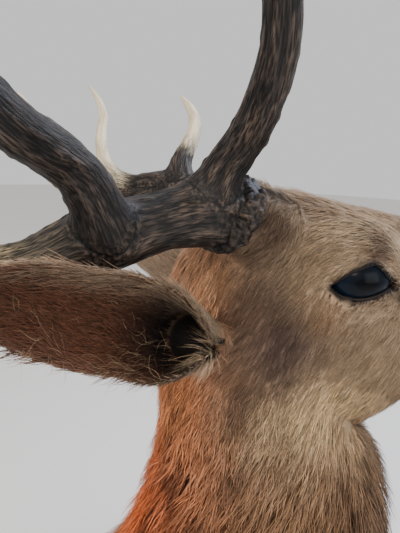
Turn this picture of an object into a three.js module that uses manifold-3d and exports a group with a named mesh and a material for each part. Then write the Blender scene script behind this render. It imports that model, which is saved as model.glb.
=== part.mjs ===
// A red deer stag's head and neck, mounted on a plain wooden wall board.
// Millimetres, +Z up. The origin is the middle of the board's back face, the
// stag looks along -Y, away from the wall, and its left side is +X.
// Flesh solids reach out to the tips of the coat. Head, neck, ears, eyes and
// the antlers' pieces are solids of their own, parted by thin gaps.
import * as THREE from 'three';
import { mergeVertices } from 'three/addons/utils/BufferGeometryUtils.js';
import Module from 'manifold-3d';

const wasm = await Module();
wasm.setup();

// ---------------------------------------------------------------- sizes
const GAP = 0.3; // between two pieces that touch

// The line through the middles of the two burrs carries the whole animal.
const BURR_LINE = { forward: 400, height: 640, side: 60 };

const BOARD = { height: 480, width: 350, thickness: 26, rimWidth: 26, rimDepth: 9, segments: 10 };

// Stations of the head and neck, from the nose to the board. Each has its
// upper and lower point in the middle plane, as [forward, up] from the burr
// line, its half width, the level of its greatest width (0 low, 1 high), and
// how square its upper and lower halves are (2 is round).
const STATIONS = [
  { name: 'nose_tip', top: [344, -70], low: [343, -86], half: 11, level: 0.5, square: [2.2, 2.2] },
  { name: 'nose_pad', top: [339, -55], low: [337, -104], half: 26, level: 0.5, square: [2.3, 2.4] },
  { name: 'nostrils', top: [327, -46], low: [327, -119], half: 33, level: 0.46, square: [2.4, 2.4] },
  { name: 'lips', top: [304, -40], low: [303, -128], half: 36, level: 0.44, square: [2.3, 2.3] },
  { name: 'mouth_corner', top: [266, -31], low: [266, -137], half: 39, level: 0.45, square: [2.2, 2.2] },
  { name: 'muzzle', top: [222, -20], low: [226, -154], half: 45, level: 0.47, square: [2.2, 2.1] },
  { name: 'cheek_front', top: [180, -9], low: [190, -175], half: 56, level: 0.5, square: [2.3, 2.1] },
  { name: 'tear_pit', top: [140, -2], low: [158, -194], half: 70, level: 0.56, square: [2.5, 2.1] },
  { name: 'eyes', top: [98, 5], low: [139, -206], half: 82, level: 0.62, square: [2.7, 2.1] },
  { name: 'forehead', top: [45, 14], low: [132, -212], half: 80, level: 0.55, square: [2.5, 2.1] },
  { name: 'poll', top: [-5, 10], low: [135, -216], half: 76, level: 0.5, square: [2.2, 2.1] },
  { name: 'nape', top: [-42, -38], low: [143, -219], half: 77, level: 0.5, square: [2.1, 2.1] },
  { name: 'throat', top: [-61, -85], low: [153, -227], half: 82, level: 0.5, square: [2.1, 2.1] },
  { name: 'neck_top', top: [-66, -150], low: [168, -247], half: 90, level: 0.5, square: [2.1, 2.1] },
  { name: 'neck_middle', top: [-69, -235], low: [183, -284], half: 102, level: 0.5, square: [2.1, 2.1] },
  { name: 'neck_full', top: [-88, -320], low: [188, -345], half: 116, level: 0.48, square: [2.1, 2.1] },
  { name: 'neck_low', top: [-124, -404], low: [173, -430], half: 128, level: 0.46, square: [2.1, 2.1] },
  { name: 'neck_base', top: [-190, -474], low: [116, -532], half: 136, level: 0.46, square: [2.1, 2.2] },
  { name: 'shoulder', top: [-268, -515], low: [2, -635], half: 136, level: 0.47, square: [2.1, 2.2] },
  { name: 'shoulder_back', top: [-336, -535], low: [-160, -728], half: 128, level: 0.48, square: [2.1, 2.2] },
  { name: 'at_board', top: [-373.7, -543], low: [-373.7, -792], half: 118, level: 0.5, square: [2.1, 2.2] },
];
const HEAD_END = 11; // the head is parted from the neck at the nape, just behind the throat's crease
const NECK_SPLIT = 16; // the neck from its base, at the low neck
const RINGS_PER_STATION = 2;
const BODY_SIDES = 32;

// Swellings and hollows of the head, each a smooth push sideways out of the
// loft: its middle as [side, forward, up], its reach and how far it pushes.
const FORMS = [
  { name: 'brow_ridge', at: [70, 104, -14], reach: [34, 44, 20], push: 5 },
  { name: 'cheek_muscle', at: [66, 70, -125], reach: [60, 55, 50], push: 5 },
  { name: 'tear_hollow', at: [62, 148, -62], reach: [34, 26, 24], push: -5 },
  { name: 'muzzle_side', at: [44, 235, -92], reach: [30, 42, 30], push: -2.5 },
  { name: 'nostril_wing', at: [30, 328, -76], reach: [20, 15, 16], push: 3 },
];

const EYE = { at: [63, 96, -46], radii: [20, 25, 20], around: 12, rings: 9 }; // sideways, forward, up

const PEDICLE = { radius: 31, root: [34, 46, -16], top: [59, 2, 0], sides: 14 };

// An ear as a leaf rolled round its long axis, open towards the side.
const EAR = {
  root: [62, -16, -102], // the middle of its base
  length: 215, width: 73, wall: 8, baseHalf: 22, rows: 10, columns: 8,
  arcs: [2.5, 1.25, 0.8], // how far round it is rolled at its root, past it and at its tip
  // the ways they point, as [side, forward, up]: the left one hangs a little lower
  axis: { right: [0.71, -0.55, 0.42], left: [0.74, -0.58, 0.28] },
  facing: [0.60, 0.70, -0.10], // the way its hollow faces
};

// Antler curves, as [side, forward, up] from the middle of the burr line.
// The stag's right antler (side counted to the right) and its left one are
// alike but not twins.
const ANTLERS = {
  right: {
    beam: [[60, 0, -2], [79, -34, 1], [98, -67, -4], [113, -104, -16], [122, -146, -32],
      [144, -202, -30], [178, -260, 14], [212, -310, 86], [232, -336, 166], [232, -340, 240]],
    brow: [[74, -24, 6], [78, -18, 22], [84, -9, 40], [94, 0, 55], [110, 6, 71], [128, 9, 89],
      [144, 9, 108], [154, 4, 134], [156, -10, 162], [150, -28, 188]],
    bez: [[117, -86, -4], [130, -91, 18], [142, -96, 33], [158, -102, 43], [180, -107, 51],
      [204, -112, 61], [224, -122, 80], [234, -136, 108], [232, -152, 138]],
    trez: [[164, -236, -4], [184, -232, 20], [206, -224, 50], [220, -220, 86], [220, -228, 124]],
    browRadius: 13.4, bezRadius: 13.8,
  },
  left: {
    beam: [[60, 0, -2], [80, -36, -6], [104, -74, -16], [124, -110, -24], [142, -148, -18],
      [170, -200, 14], [202, -258, 60], [228, -312, 122], [238, -340, 196], [230, -342, 266]],
    brow: [[80, -42, 0], [88, -46, 18], [96, -46, 31], [106, -41, 42], [116, -36, 53],
      [128, -32, 66], [140, -33, 79], [150, -39, 91], [158, -49, 103]],
    bez: [[84, -46, -2], [98, -66, 7], [110, -84, 6], [123, -102, 4], [138, -122, 10],
      [152, -138, 25], [166, -145, 44], [180, -147, 62], [192, -147, 80], [203, -154, 98],
      [212, -168, 117]],
    trez: [[186, -232, 38], [204, -240, 52], [220, -248, 68], [230, -256, 86], [232, -266, 106]],
    browRadius: 10.8, bezRadius: 10.0,
  },
};
const CROWN = [ // tines of the crown, as steps from the end of the beam
  { name: 'front', steps: [[0, 6, -12], [8, 30, 24], [8, 50, 62], [-4, 58, 100]], radius: 12 },
  { name: 'middle', steps: [[0, 0, -14], [-4, 0, 30], [-14, 4, 80], [-28, 0, 130]], radius: 13 },
  { name: 'inner', steps: [[0, -4, -14], [-22, -2, 16], [-50, 4, 46], [-68, 6, 86]], radius: 11.5 },
];
const BEAM = { base: 21, middle: 18, end: 16 }; // radii
// The burr is tilted up from the beam's own way, towards the brow tine.
const BURR = { radius: 33, depth: 13, sides: 18, wave: 0.05, rise: 0.45 };
const TREZ_RADIUS = 13;
const BEAM_SIDES = 10;
const BEAM_STEPS = 24;
const BEAM_FORKS = [7, 15]; // rings where the beam is parted, past the bez and past the trez
const TINE_SIDES = 7;
const TINE_STEPS = 8;

// ------------------------------------------------------------- helpers
const clamp01 = (t) => Math.min(1, Math.max(0, t));
const lerp = (a, b, t) => a + (b - a) * t;

// A point given as [side, forward, up] from the burr line, on one side of
// the animal (+1 is its left), in the model's own frame.
function place([side, forward, up], hand = 1) {
  return new THREE.Vector3(hand * side, -(BURR_LINE.forward + forward), BURR_LINE.height + up);
}

// Catmull-Rom value of a list of numbers at a fractional index.
function along(values, s) {
  const i = Math.min(values.length - 2, Math.max(0, Math.floor(s)));
  const t = s - i;
  const p1 = values[i];
  const p2 = values[i + 1];
  const p0 = i > 0 ? values[i - 1] : 2 * p1 - p2;
  const p3 = i + 2 < values.length ? values[i + 2] : 2 * p2 - p1;
  const cubic = ((-p0 + 3 * p1 - 3 * p2 + p3) * t + (2 * p0 - 5 * p1 + 4 * p2 - p3)) * t;
  return p1 + 0.5 * ((cubic + (p2 - p0)) * t);
}

// A closed body from rings of equal length, with a fan over each end.
function loft(rings) {
  const n = rings[0].length;
  const positions = [];
  const index = [];
  for (const ring of rings) ring.forEach((p) => positions.push(p.x, p.y, p.z));
  const middle = (ring) => ring.reduce((a, p) => a.add(p), new THREE.Vector3()).divideScalar(n);
  const first = rings.length * n;
  for (const ring of [rings[0], rings[rings.length - 1]]) positions.push(...middle(ring).toArray());
  for (let r = 0; r + 1 < rings.length; r += 1) {
    for (let k = 0; k < n; k += 1) {
      const a = r * n + k;
      const b = r * n + ((k + 1) % n);
      index.push(a, b, a + n, b, b + n, a + n);
    }
  }
  const last = (rings.length - 1) * n;
  for (let k = 0; k < n; k += 1) {
    const next = (k + 1) % n;
    index.push(first, next, k, first + 1, last + k, last + next);
  }
  const geometry = new THREE.BufferGeometry();
  geometry.setAttribute('position', new THREE.Float32BufferAttribute(positions, 3));
  geometry.setIndex(index);
  return outward(geometry);
}

// The same body with its faces turned outward.
function outward(geometry) {
  const p = geometry.getAttribute('position');
  const index = geometry.getIndex();
  const [a, b, c] = [new THREE.Vector3(), new THREE.Vector3(), new THREE.Vector3()];
  let volume = 0;
  for (let i = 0; i < index.count; i += 3) {
    a.fromBufferAttribute(p, index.getX(i));
    b.fromBufferAttribute(p, index.getX(i + 1));
    c.fromBufferAttribute(p, index.getX(i + 2));
    volume += a.dot(b.cross(c));
  }
  if (volume > 0) return geometry;
  const turned = [];
  for (let i = 0; i < index.count; i += 3) {
    turned.push(index.getX(i), index.getX(i + 2), index.getX(i + 1));
  }
  geometry.setIndex(turned);
  return geometry;
}

function solid(geometry) {
  const bare = geometry.clone();
  bare.deleteAttribute('normal');
  bare.deleteAttribute('uv');
  const merged = mergeVertices(bare, 1e-4);
  return new wasm.Manifold(new wasm.Mesh({
    numProp: 3,
    vertProperties: new Float32Array(merged.getAttribute('position').array),
    triVerts: new Uint32Array(merged.getIndex().array),
  }));
}

function geometryOf(manifold) {
  const mesh = manifold.getMesh();
  const geometry = new THREE.BufferGeometry();
  geometry.setAttribute('position', new THREE.Float32BufferAttribute(mesh.vertProperties, 3));
  geometry.setIndex(Array.from(mesh.triVerts));
  geometry.computeVertexNormals();
  return geometry;
}

// ------------------------------------------------------- head and neck
const column = (pick) => STATIONS.map(pick);
const PROFILE = {
  topForward: column((s) => s.top[0]), topUp: column((s) => s.top[1]),
  lowForward: column((s) => s.low[0]), lowUp: column((s) => s.low[1]),
  half: column((s) => s.half), level: column((s) => s.level),
  squareTop: column((s) => s.square[0]), squareLow: column((s) => s.square[1]),
};

// One ring of the body at station s, grown by a margin on every side. All of
// its points lie in one plane through the station's upper and lower points.
function bodyRing(s, margin = 0) {
  const at = Object.fromEntries(Object.entries(PROFILE).map(([k, v]) => [k, along(v, s)]));
  const top = new THREE.Vector2(at.topForward, at.topUp);
  const low = new THREE.Vector2(at.lowForward, at.lowUp);
  const rise = top.clone().sub(low);
  const unit = rise.clone().normalize();
  const tall = rise.length() + 2 * margin;
  low.addScaledVector(unit, -margin);
  const ring = [];
  for (let k = 0; k < BODY_SIDES; k += 1) {
    const angle = (2 * Math.PI * (k + 0.5)) / BODY_SIDES;
    const power = 2 / (Math.sin(angle) > 0 ? at.squareTop : at.squareLow);
    const across = Math.sign(Math.cos(angle)) * Math.abs(Math.cos(angle)) ** power;
    const rising = Math.sign(Math.sin(angle)) * Math.abs(Math.sin(angle)) ** power;
    const level = at.level + (rising > 0 ? (1 - at.level) : at.level) * rising;
    const f = low.x + unit.x * tall * level;
    const u = low.y + unit.y * tall * level;
    let side = across * (at.half + margin);
    side += Math.sign(side) * forms(Math.abs(side), f, u) * Math.min(1, Math.abs(side) / 12);
    ring.push(place([side, f, u]));
  }
  return ring;
}

// How far the named swellings and hollows push a point of the loft sideways.
function forms(side, forward, up) {
  return FORMS.reduce((sum, form) => {
    const d = [side, forward, up].map((v, i) => (v - form.at[i]) / form.reach[i]);
    return sum + form.push * Math.exp(-(d[0] ** 2 + d[1] ** 2 + d[2] ** 2));
  }, 0);
}

// The rings of the body between two stations.
function bodyRings(from, to, margin = 0) {
  const count = Math.round((to - from) * RINGS_PER_STATION);
  const rings = [];
  for (let r = 0; r <= count; r += 1) rings.push(bodyRing(lerp(from, to, r / count), margin));
  return rings;
}

// A stretch of the body whose first ring is moved by the gap along its own
// normal, away from the stretch before it.
function partedFrom(from, to) {
  const rings = bodyRings(from, to);
  const third = Math.floor(BODY_SIDES / 3);
  const [a, b, c] = [rings[0][0], rings[0][third], rings[0][2 * third]];
  const normal = b.clone().sub(a).cross(c.clone().sub(a)).normalize();
  if (normal.dot(rings[1][0].clone().sub(a)) < 0) normal.negate();
  rings[0].forEach((p) => p.addScaledVector(normal, GAP));
  return loft(rings);
}

// ---------------------------------------------------------------- tubes
// The rings of a round bar along a curve; its radius is a function of the way
// along. A round end adds one small ring a radius beyond the last.
function barRings(points, radiusAt, sides, steps, roundEnd = true) {
  const curve = new THREE.CatmullRomCurve3(points, false, 'centripetal');
  const frames = curve.computeFrenetFrames(steps, false);
  const rings = [];
  for (let i = 0; i <= steps; i += 1) {
    const t = i / steps;
    const centre = curve.getPointAt(t);
    const radius = radiusAt(t);
    const ring = [];
    for (let k = 0; k < sides; k += 1) {
      const angle = (2 * Math.PI * k) / sides;
      ring.push(centre.clone()
        .addScaledVector(frames.normals[i], radius * Math.cos(angle))
        .addScaledVector(frames.binormals[i], radius * Math.sin(angle)));
    }
    rings.push(ring);
  }
  if (roundEnd) {
    const end = curve.getPointAt(1).addScaledVector(curve.getTangentAt(1), radiusAt(1));
    rings.push(rings[steps].map((p) => p.clone().lerp(end, 0.85)));
  }
  return rings;
}

const bar = (...how) => loft(barRings(...how));

// A tine thins slowly, then quickly to its point, and flares at its root.
const tineRadius = (radius) => (t) => radius
  * (1 + 0.22 * Math.exp(-9 * t)) * (1 - 0.28 * t) * Math.sqrt(Math.max(0.012, 1 - t ** 3.2));

const beamRadius = (t) => lerp(lerp(BEAM.base, BEAM.middle, clamp01(t / 0.45)), BEAM.end,
  clamp01((t - 0.45) / 0.55));

// ------------------------------------------------------------- antlers
// The beam is one bar, parted at its forks; every tine is cut to stand on it.
function antler(name, hand) {
  const set = ANTLERS[name];
  const points = set.beam.map((p) => place(p, hand));
  const whole = new THREE.CatmullRomCurve3(points, false, 'centripetal');
  const beam = (margin) => barRings(points, (t) => beamRadius(t) + margin, BEAM_SIDES, BEAM_STEPS);
  const rings = beam(0);
  const ends = [0, ...BEAM_FORKS, rings.length - 1];
  const pieces = ['base', 'beam', 'top'].map((part, i) => {
    const stretch = rings.slice(ends[i], ends[i + 1] + 1);
    if (i) {
      const step = whole.getTangentAt(ends[i] / BEAM_STEPS).multiplyScalar(GAP);
      stretch[0] = stretch[0].map((p) => p.clone().add(step));
    }
    const body = solid(loft(stretch));
    return { part, body: i ? body : body.add(solid(burr(whole))) };
  });
  const foot = solid(loft(beam(GAP))).add(solid(burr(whole, GAP)));
  let taken = foot;
  const tip = set.beam[set.beam.length - 1];
  const tines = [['brow', set.brow, set.browRadius], ['bez', set.bez, set.bezRadius],
    ['trez', set.trez, TREZ_RADIUS]];
  CROWN.forEach((tine) => {
    const route = tine.steps.map((step) => step.map((v, i) => v + tip[i]));
    tines.push([`crown_${tine.name}`, route, tine.radius]);
  });
  tines.forEach(([part, route, radius]) => {
    const at = route.map((p) => place(p, hand));
    const thick = tineRadius(radius);
    const tine = (margin) => solid(bar(at, (t) => thick(t) + margin, TINE_SIDES, TINE_STEPS));
    pieces.push({ part, body: largest(tine(0).subtract(taken)) });
    taken = taken.add(tine(GAP));
  });
  return { pieces, foot };
}

// The largest body of a cut solid: a cut can leave a sliver behind.
function largest(body) {
  const parts = body.decompose();
  return parts.reduce((a, b) => (b.volume() > a.volume() ? b : a));
}

// The knobbly ring at the antler's foot: a short disc with a waved edge.
function burr(beam, margin = 0) {
  const start = beam.getPointAt(0);
  const upward = new THREE.Vector3(0, 0, 1);
  const axis = beam.getTangentAt(0).addScaledVector(upward, BURR.rise).normalize();
  const normal = upward.cross(axis).normalize();
  const other = axis.clone().cross(normal);
  // the disc's profile: how far along its axis, and how wide for its radius
  const profile = [[-3 - margin, 0.72], [1, 0.98], [BURR.depth / 2, 1], [BURR.depth + margin, 0.78]];
  const rings = profile.map(([offset, size]) => {
    const ring = [];
    for (let k = 0; k < BURR.sides; k += 1) {
      const angle = (2 * Math.PI * k) / BURR.sides;
      const radius = BURR.radius * size * (1 + BURR.wave * (k % 2 ? 1 : -1)) + margin;
      ring.push(start.clone().addScaledVector(axis, offset)
        .addScaledVector(normal, radius * Math.cos(angle))
        .addScaledVector(other, radius * Math.sin(angle)));
    }
    return ring;
  });
  return loft(rings);
}

// ----------------------------------------------------------------- eyes
function eyeball(hand, margin = 0) {
  const grown = EYE.radii.map((radius) => radius + margin);
  return new THREE.SphereGeometry(1, EYE.around, EYE.rings).scale(...grown)
    .translate(...place(EYE.at, hand).toArray());
}

// ----------------------------------------------------------------- ears
// A leaf with a thick rolled wall. Its section is an arc that is nearly
// closed at the root and opens out along the ear; the hollow faces the side.
function ear(name, hand) {
  const turned = ([side, forward, up]) => new THREE.Vector3(hand * side, -forward, up).normalize();
  const axis = turned(EAR.axis[name]);
  const root = place(EAR.root, hand);
  const open = turned(EAR.facing);
  open.addScaledVector(axis, -open.dot(axis)).normalize();
  const wide = open.clone().cross(axis).normalize();
  const rings = [];
  const middle = EAR.columns / 2;
  for (let r = 0; r <= EAR.rows; r += 1) {
    const t = r / EAR.rows;
    const leaf = Math.sin(Math.PI * (0.16 + 0.84 * t) ** 1.05) ** 0.62;
    const half = Math.max(2.5, lerp(EAR.baseHalf, (EAR.width / 2) * leaf, clamp01(t * 3)));
    const arc = lerp(lerp(EAR.arcs[0], EAR.arcs[1], clamp01(t * 2.2)), EAR.arcs[2], clamp01(t * 2.2 - 1.2));
    const radius = half / Math.sin(Math.min(arc, Math.PI / 2));
    const wall = Math.min(EAR.wall * (1 - 0.6 * t), radius * 0.5);
    const centre = root.clone().addScaledVector(axis, EAR.length * t);
    const ring = [];
    for (let k = 0; k <= EAR.columns; k += 1) {
      ring.push(earPoint(centre, open, wide, radius, (arc * (k - middle)) / middle));
    }
    for (let k = EAR.columns; k >= 0; k -= 1) {
      ring.push(earPoint(centre, open, wide, radius, (0.97 * arc * (k - middle)) / middle, wall));
    }
    rings.push(ring);
  }
  return loft(rings);
}

function earPoint(centre, open, wide, radius, angle, wall = 0) {
  const reach = radius - wall;
  return centre.clone()
    .addScaledVector(open, radius * 0.35 - reach * Math.cos(angle))
    .addScaledVector(wide, reach * Math.sin(angle));
}

// ------------------------------------------------------------ the board
// A shield: flat top, sides that swell and run down to a point, with a
// stepped rim cut round its front.
function shield(width, height, inset) {
  const w = width / 2 - inset;
  const top = height / 2 - inset;
  const low = -height / 2 + inset * 1.3;
  const shape = new THREE.Shape();
  shape.moveTo(-w * 0.82, top);
  shape.lineTo(w * 0.82, top);
  shape.quadraticCurveTo(w * 0.86, top * 0.82, w, top * 0.74);
  shape.bezierCurveTo(w * 1.02, top * 0.1, w * 0.94, low * 0.52, 0, low);
  shape.bezierCurveTo(-w * 0.94, low * 0.52, -w * 1.02, top * 0.1, -w, top * 0.74);
  shape.quadraticCurveTo(-w * 0.86, top * 0.82, -w * 0.82, top);
  return shape;
}

function slab(inset, from, to) {
  const geometry = new THREE.ExtrudeGeometry(shield(BOARD.width, BOARD.height, inset), {
    depth: to - from, bevelEnabled: false, curveSegments: BOARD.segments,
  });
  geometry.rotateX(Math.PI / 2); // the shape's depth now runs along -Y
  geometry.translate(0, -from, 0);
  return solid(geometry);
}

function board() {
  const step = BOARD.thickness - BOARD.rimDepth;
  return slab(0, 0, step).add(slab(BOARD.rimWidth, step - 1, BOARD.thickness));
}

// ------------------------------------------------------------- the model
const group = new THREE.Group();

function put(name, geometry, color, roughness) {
  const material = new THREE.MeshStandardMaterial({ color, roughness, metalness: 0 });
  const mesh = new THREE.Mesh(geometry, material);
  mesh.name = name;
  group.add(mesh);
}

const COAT = 0x8f7357;
const ANTLER = 0x4a3a2c;
const hands = [['right', -1], ['left', 1]];

const fleshGrown = solid(loft(bodyRings(0, NECK_SPLIT, GAP)));
let head = solid(loft(bodyRings(0, HEAD_END)));
for (const [, hand] of hands) {
  const stub = bar([place(PEDICLE.root, hand), place(PEDICLE.top, hand)],
    () => PEDICLE.radius, PEDICLE.sides, 2, false);
  head = head.add(solid(stub));
}
for (const [name, hand] of hands) {
  head = head.subtract(solid(eyeball(hand, GAP)));
  put(`eye_${name}`, eyeball(hand), 0x0c1018, 0.05);
}

for (const [name, hand] of hands) {
  const { pieces, foot } = antler(name, hand);
  head = head.subtract(foot);
  pieces.forEach(({ part, body }) => {
    put(`antler_${name}_${part}`, geometryOf(body), ANTLER, 0.6);
  });
  put(`ear_${name}`, geometryOf(largest(solid(ear(name, hand)).subtract(fleshGrown))), COAT, 0.9);
}
put('head', geometryOf(largest(head)), COAT, 0.9);
put('neck', partedFrom(HEAD_END, NECK_SPLIT), COAT, 0.9);
put('neck_base', partedFrom(NECK_SPLIT, STATIONS.length - 1), COAT, 0.9);
put('board', geometryOf(board()), 0x5b3a22, 0.5);

export default group;
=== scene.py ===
# %% [markdown]
# A red deer stag's head and neck, mounted on a wooden wall board. The packed
# model is loaded first as a fixed frame: its nodes say where everything is,
# and the pieces made here replace them with the finer, final surfaces.

import bpy
import numpy as np
from mathutils import Matrix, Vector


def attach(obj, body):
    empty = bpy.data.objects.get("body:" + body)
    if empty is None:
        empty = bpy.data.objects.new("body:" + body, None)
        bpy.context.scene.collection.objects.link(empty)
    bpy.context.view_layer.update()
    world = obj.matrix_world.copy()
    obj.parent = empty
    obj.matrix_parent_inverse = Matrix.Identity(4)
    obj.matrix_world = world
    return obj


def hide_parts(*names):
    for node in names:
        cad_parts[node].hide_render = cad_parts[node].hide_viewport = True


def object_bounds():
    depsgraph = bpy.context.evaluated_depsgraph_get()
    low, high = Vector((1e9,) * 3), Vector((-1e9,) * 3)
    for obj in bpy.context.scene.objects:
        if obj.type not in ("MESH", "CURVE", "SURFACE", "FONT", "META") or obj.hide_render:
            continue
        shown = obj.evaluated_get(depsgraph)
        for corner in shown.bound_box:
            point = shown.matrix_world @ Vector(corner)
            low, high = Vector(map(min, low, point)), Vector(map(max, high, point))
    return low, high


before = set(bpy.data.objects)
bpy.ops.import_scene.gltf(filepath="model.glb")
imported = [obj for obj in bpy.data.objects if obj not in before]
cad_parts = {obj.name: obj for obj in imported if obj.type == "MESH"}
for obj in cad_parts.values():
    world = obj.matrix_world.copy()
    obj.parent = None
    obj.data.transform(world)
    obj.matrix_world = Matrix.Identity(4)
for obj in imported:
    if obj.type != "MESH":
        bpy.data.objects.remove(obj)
cad_box = [list(corner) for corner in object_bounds()]
print("frame box, metres:", cad_box)

# %% [markdown]
# All shapes below are worked out in the animal's own measures: millimetres,
# as (side, forward, up) from the middle of the line through its two burrs,
# the knobbly rings at the antlers' feet. The side is counted away from the
# middle plane, so one set of numbers serves the left and the right. One
# function carries such points into the frame, in metres.

# %% The animal's measures
MM = 0.001
BURR_LINE = {"forward": 400.0, "height": 640.0}  # from the middle of the board's back
HANDS = {"right": -1, "left": 1}  # the stag's own right is towards -X
rng = np.random.default_rng(7)


def place(points, hand=1):
    """Frame point: x is hand times the side, y runs against forward from the wall, z is up."""
    p = np.asarray(points, dtype=float)
    out = np.empty_like(p)
    out[..., 0] = hand * p[..., 0]
    out[..., 1] = -(BURR_LINE["forward"] + p[..., 1])
    out[..., 2] = BURR_LINE["height"] + p[..., 2]
    return out * MM


def animal(points):
    """The inverse of place for either hand: (side counted outward, forward, up) in mm."""
    p = np.asarray(points, dtype=float) / MM
    return np.stack([np.abs(p[..., 0]), -p[..., 1] - BURR_LINE["forward"],
                     p[..., 2] - BURR_LINE["height"]], axis=-1)


def unit(v):
    """Each vector divided by its own length."""
    return v / np.maximum(np.linalg.norm(v, axis=-1, keepdims=True), 1e-9)


def smooth_step(x, low, high):
    """0 below low, 1 above high, and 3t^2 - 2t^3 between them; it falls if low is the greater."""
    t = np.clip((x - low) / (high - low), 0, 1)
    return t * t * (3 - 2 * t)


def apart(points, middle, reach):
    """Squared distance from a middle, measured in reaches."""
    return (((points - np.array(middle)) / np.array(reach)) ** 2).sum(axis=-1)


def turn(columns):
    """Angles of one full turn, as a row."""
    return np.linspace(0, 2 * np.pi, columns, endpoint=False)[None]


def around(angle, one, two):
    """The ways at an angle from one towards two, which are crossed: cos times one plus sin times two."""
    return np.cos(angle)[..., None] * one + np.sin(angle)[..., None] * two


def mix(colour, other, share):
    """The colour moved by a share of the way to another one."""
    return colour + np.asarray(share)[..., None] * (other - colour)


print("burr line at", place([0, 0, 0]).tolist())

# %% [markdown]
# Every surface here is a grid of points worked out at once, so one builder
# turns arrays into a mesh. It measures the volume that the faces enclose and
# turns them over if it is negative, so that they always face outwards.

# %% Build a mesh from arrays
def hex_colour(code):
    """Linear red, green, blue of an sRGB hex value.
    Below 0.04045 it is v / 12.92, above it ((v + 0.055) / 1.055)^2.4."""
    v = np.array([int(code[i:i + 2], 16) / 255 for i in (1, 3, 5)])
    return np.where(v <= 0.04045, v / 12.92, ((v + 0.055) / 1.055) ** 2.4)


def write_field(mesh, key, value):
    """A number or a triple kept on every point of a mesh."""
    kind, slot = ("FLOAT", "value") if value.ndim == 1 else ("FLOAT_VECTOR", "vector")
    mesh.attributes.new(key, kind, "POINT").data.foreach_set(slot, value.astype(np.float32).ravel())


def mesh_piece(name, points, faces, materials, uv=None, uv_name="unwrap", values=None, index=None):
    """A closed mesh object. faces is a list of (n, 3) or (n, 4) arrays, uv one pair per face
    corner in the same order, values a dictionary of point attributes."""
    first = np.concatenate([f[:, :3] for f in faces] + [f[:, [0, 2, 3]] for f in faces if f.shape[1] == 4])
    a, b, c = (points[first[:, k]] for k in range(3))
    turned = np.einsum("ij,ij->i", a, np.cross(b, c)).sum() < 0
    mesh = bpy.data.meshes.new(name)
    corners = np.concatenate([(f[:, ::-1] if turned else f).ravel() for f in faces])
    sizes = np.concatenate([np.full(len(f), f.shape[1]) for f in faces])
    mesh.vertices.add(len(points))
    mesh.vertices.foreach_set("co", np.ascontiguousarray(points, dtype=np.float32).ravel())
    mesh.loops.add(len(corners))
    mesh.loops.foreach_set("vertex_index", corners.astype(np.int32))
    mesh.polygons.add(len(sizes))
    mesh.polygons.foreach_set("loop_start", (np.cumsum(sizes) - sizes).astype(np.int32))
    mesh.polygons.foreach_set("use_smooth", np.ones(len(sizes), dtype=bool))
    if uv is not None:
        parts = np.split(uv, np.cumsum([f.size for f in faces])[:-1])
        pairs = [u.reshape(len(f), -1, 2) for u, f in zip(parts, faces)]
        flat = np.concatenate([(u[:, ::-1] if turned else u).reshape(-1, 2) for u in pairs])
        layer = mesh.uv_layers.new(name=uv_name)
        layer.uv.foreach_set("vector", flat.astype(np.float32).ravel())
    for key, value in (values or {}).items():
        write_field(mesh, key, value)
    for material in materials:
        mesh.materials.append(material)
    if index is not None:
        mesh.polygons.foreach_set("material_index", np.full(len(sizes), index, dtype=np.int32))
    mesh.update()
    piece = bpy.data.objects.new(name, mesh)
    bpy.context.collection.objects.link(piece)
    return piece


def grid_faces(rows, columns, closed=True):
    """Quads between neighbouring rows of a grid whose columns run round and meet."""
    r, c = np.meshgrid(np.arange(rows - 1), np.arange(columns if closed else columns - 1), indexing="ij")
    n = (c + 1) % columns
    here, above = r * columns, (r + 1) * columns
    return np.stack([here + c, here + n, above + n, above + c], axis=-1).reshape(-1, 4)


def closed_tube(name, rings, materials, cells=None, values=None, index=None, tip_lift=0.0):
    """A tube of rings, an array (rows, columns, 3), closed by a fan to a middle point at each end.
    cells is the box (u0, v0, u1, v1) that its unwrap fills; tip_lift moves the last middle out."""
    rows, columns, _ = rings.shape
    ends = [rings[0].mean(axis=0), rings[-1].mean(axis=0)]
    ends[1] = ends[1] + tip_lift * unit(ends[1] - rings[-2].mean(axis=0))
    points = np.concatenate([rings.reshape(-1, 3), ends])
    quads = grid_faces(rows, columns)
    k = np.arange(columns)
    n = (k + 1) % columns
    first, last = rows * columns, rows * columns + 1
    caps = np.concatenate([np.stack([np.full(columns, first), n, k], axis=-1),
                           np.stack([np.full(columns, last), (rows - 1) * columns + k,
                                     (rows - 1) * columns + n], axis=-1)])
    u0, v0, u1, v1 = cells or (0, 0, 1, 1)
    corner_u = np.stack([k, k + 1, k + 1, k], axis=-1)[None].repeat(rows - 1, axis=0) / columns
    row = np.arange(rows - 1)[:, None, None]
    corner_v = np.broadcast_to(row + np.array([0, 0, 1, 1]), corner_u.shape) / (rows - 1)
    uv = np.stack([corner_u, corner_v], axis=-1).reshape(-1, 2)
    cap_u = np.concatenate([np.stack([k + 0.5, k + 1, k], axis=-1), np.stack([k + 0.5, k, k + 1], axis=-1)])
    cap_v = np.concatenate([np.zeros((columns, 3)), np.ones((columns, 3))])
    uv = np.concatenate([uv, np.stack([cap_u / columns, cap_v], axis=-1).reshape(-1, 2)])
    uv = np.array([u0, v0]) + uv * np.array([u1 - u0, v1 - v0])
    values = {key: np.concatenate([value.reshape(rows * columns, *value.shape[2:]), value[:1].mean(axis=1),
                                   value[-1:].mean(axis=1)]) for key, value in (values or {}).items()}
    return mesh_piece(name, points, [quads, caps], materials, uv=uv, values=values, index=index)


print("white reads as", hex_colour("#ffffff").tolist())

# %% [markdown]
# Nothing on an animal is even. Patches, locks and ridges all need a noise
# that can be asked for at any point. Value noise does it: random numbers at
# the corners of a lattice, blended smoothly between them. The corner numbers
# come from a hash, so the same seed always gives the same pattern.

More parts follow.
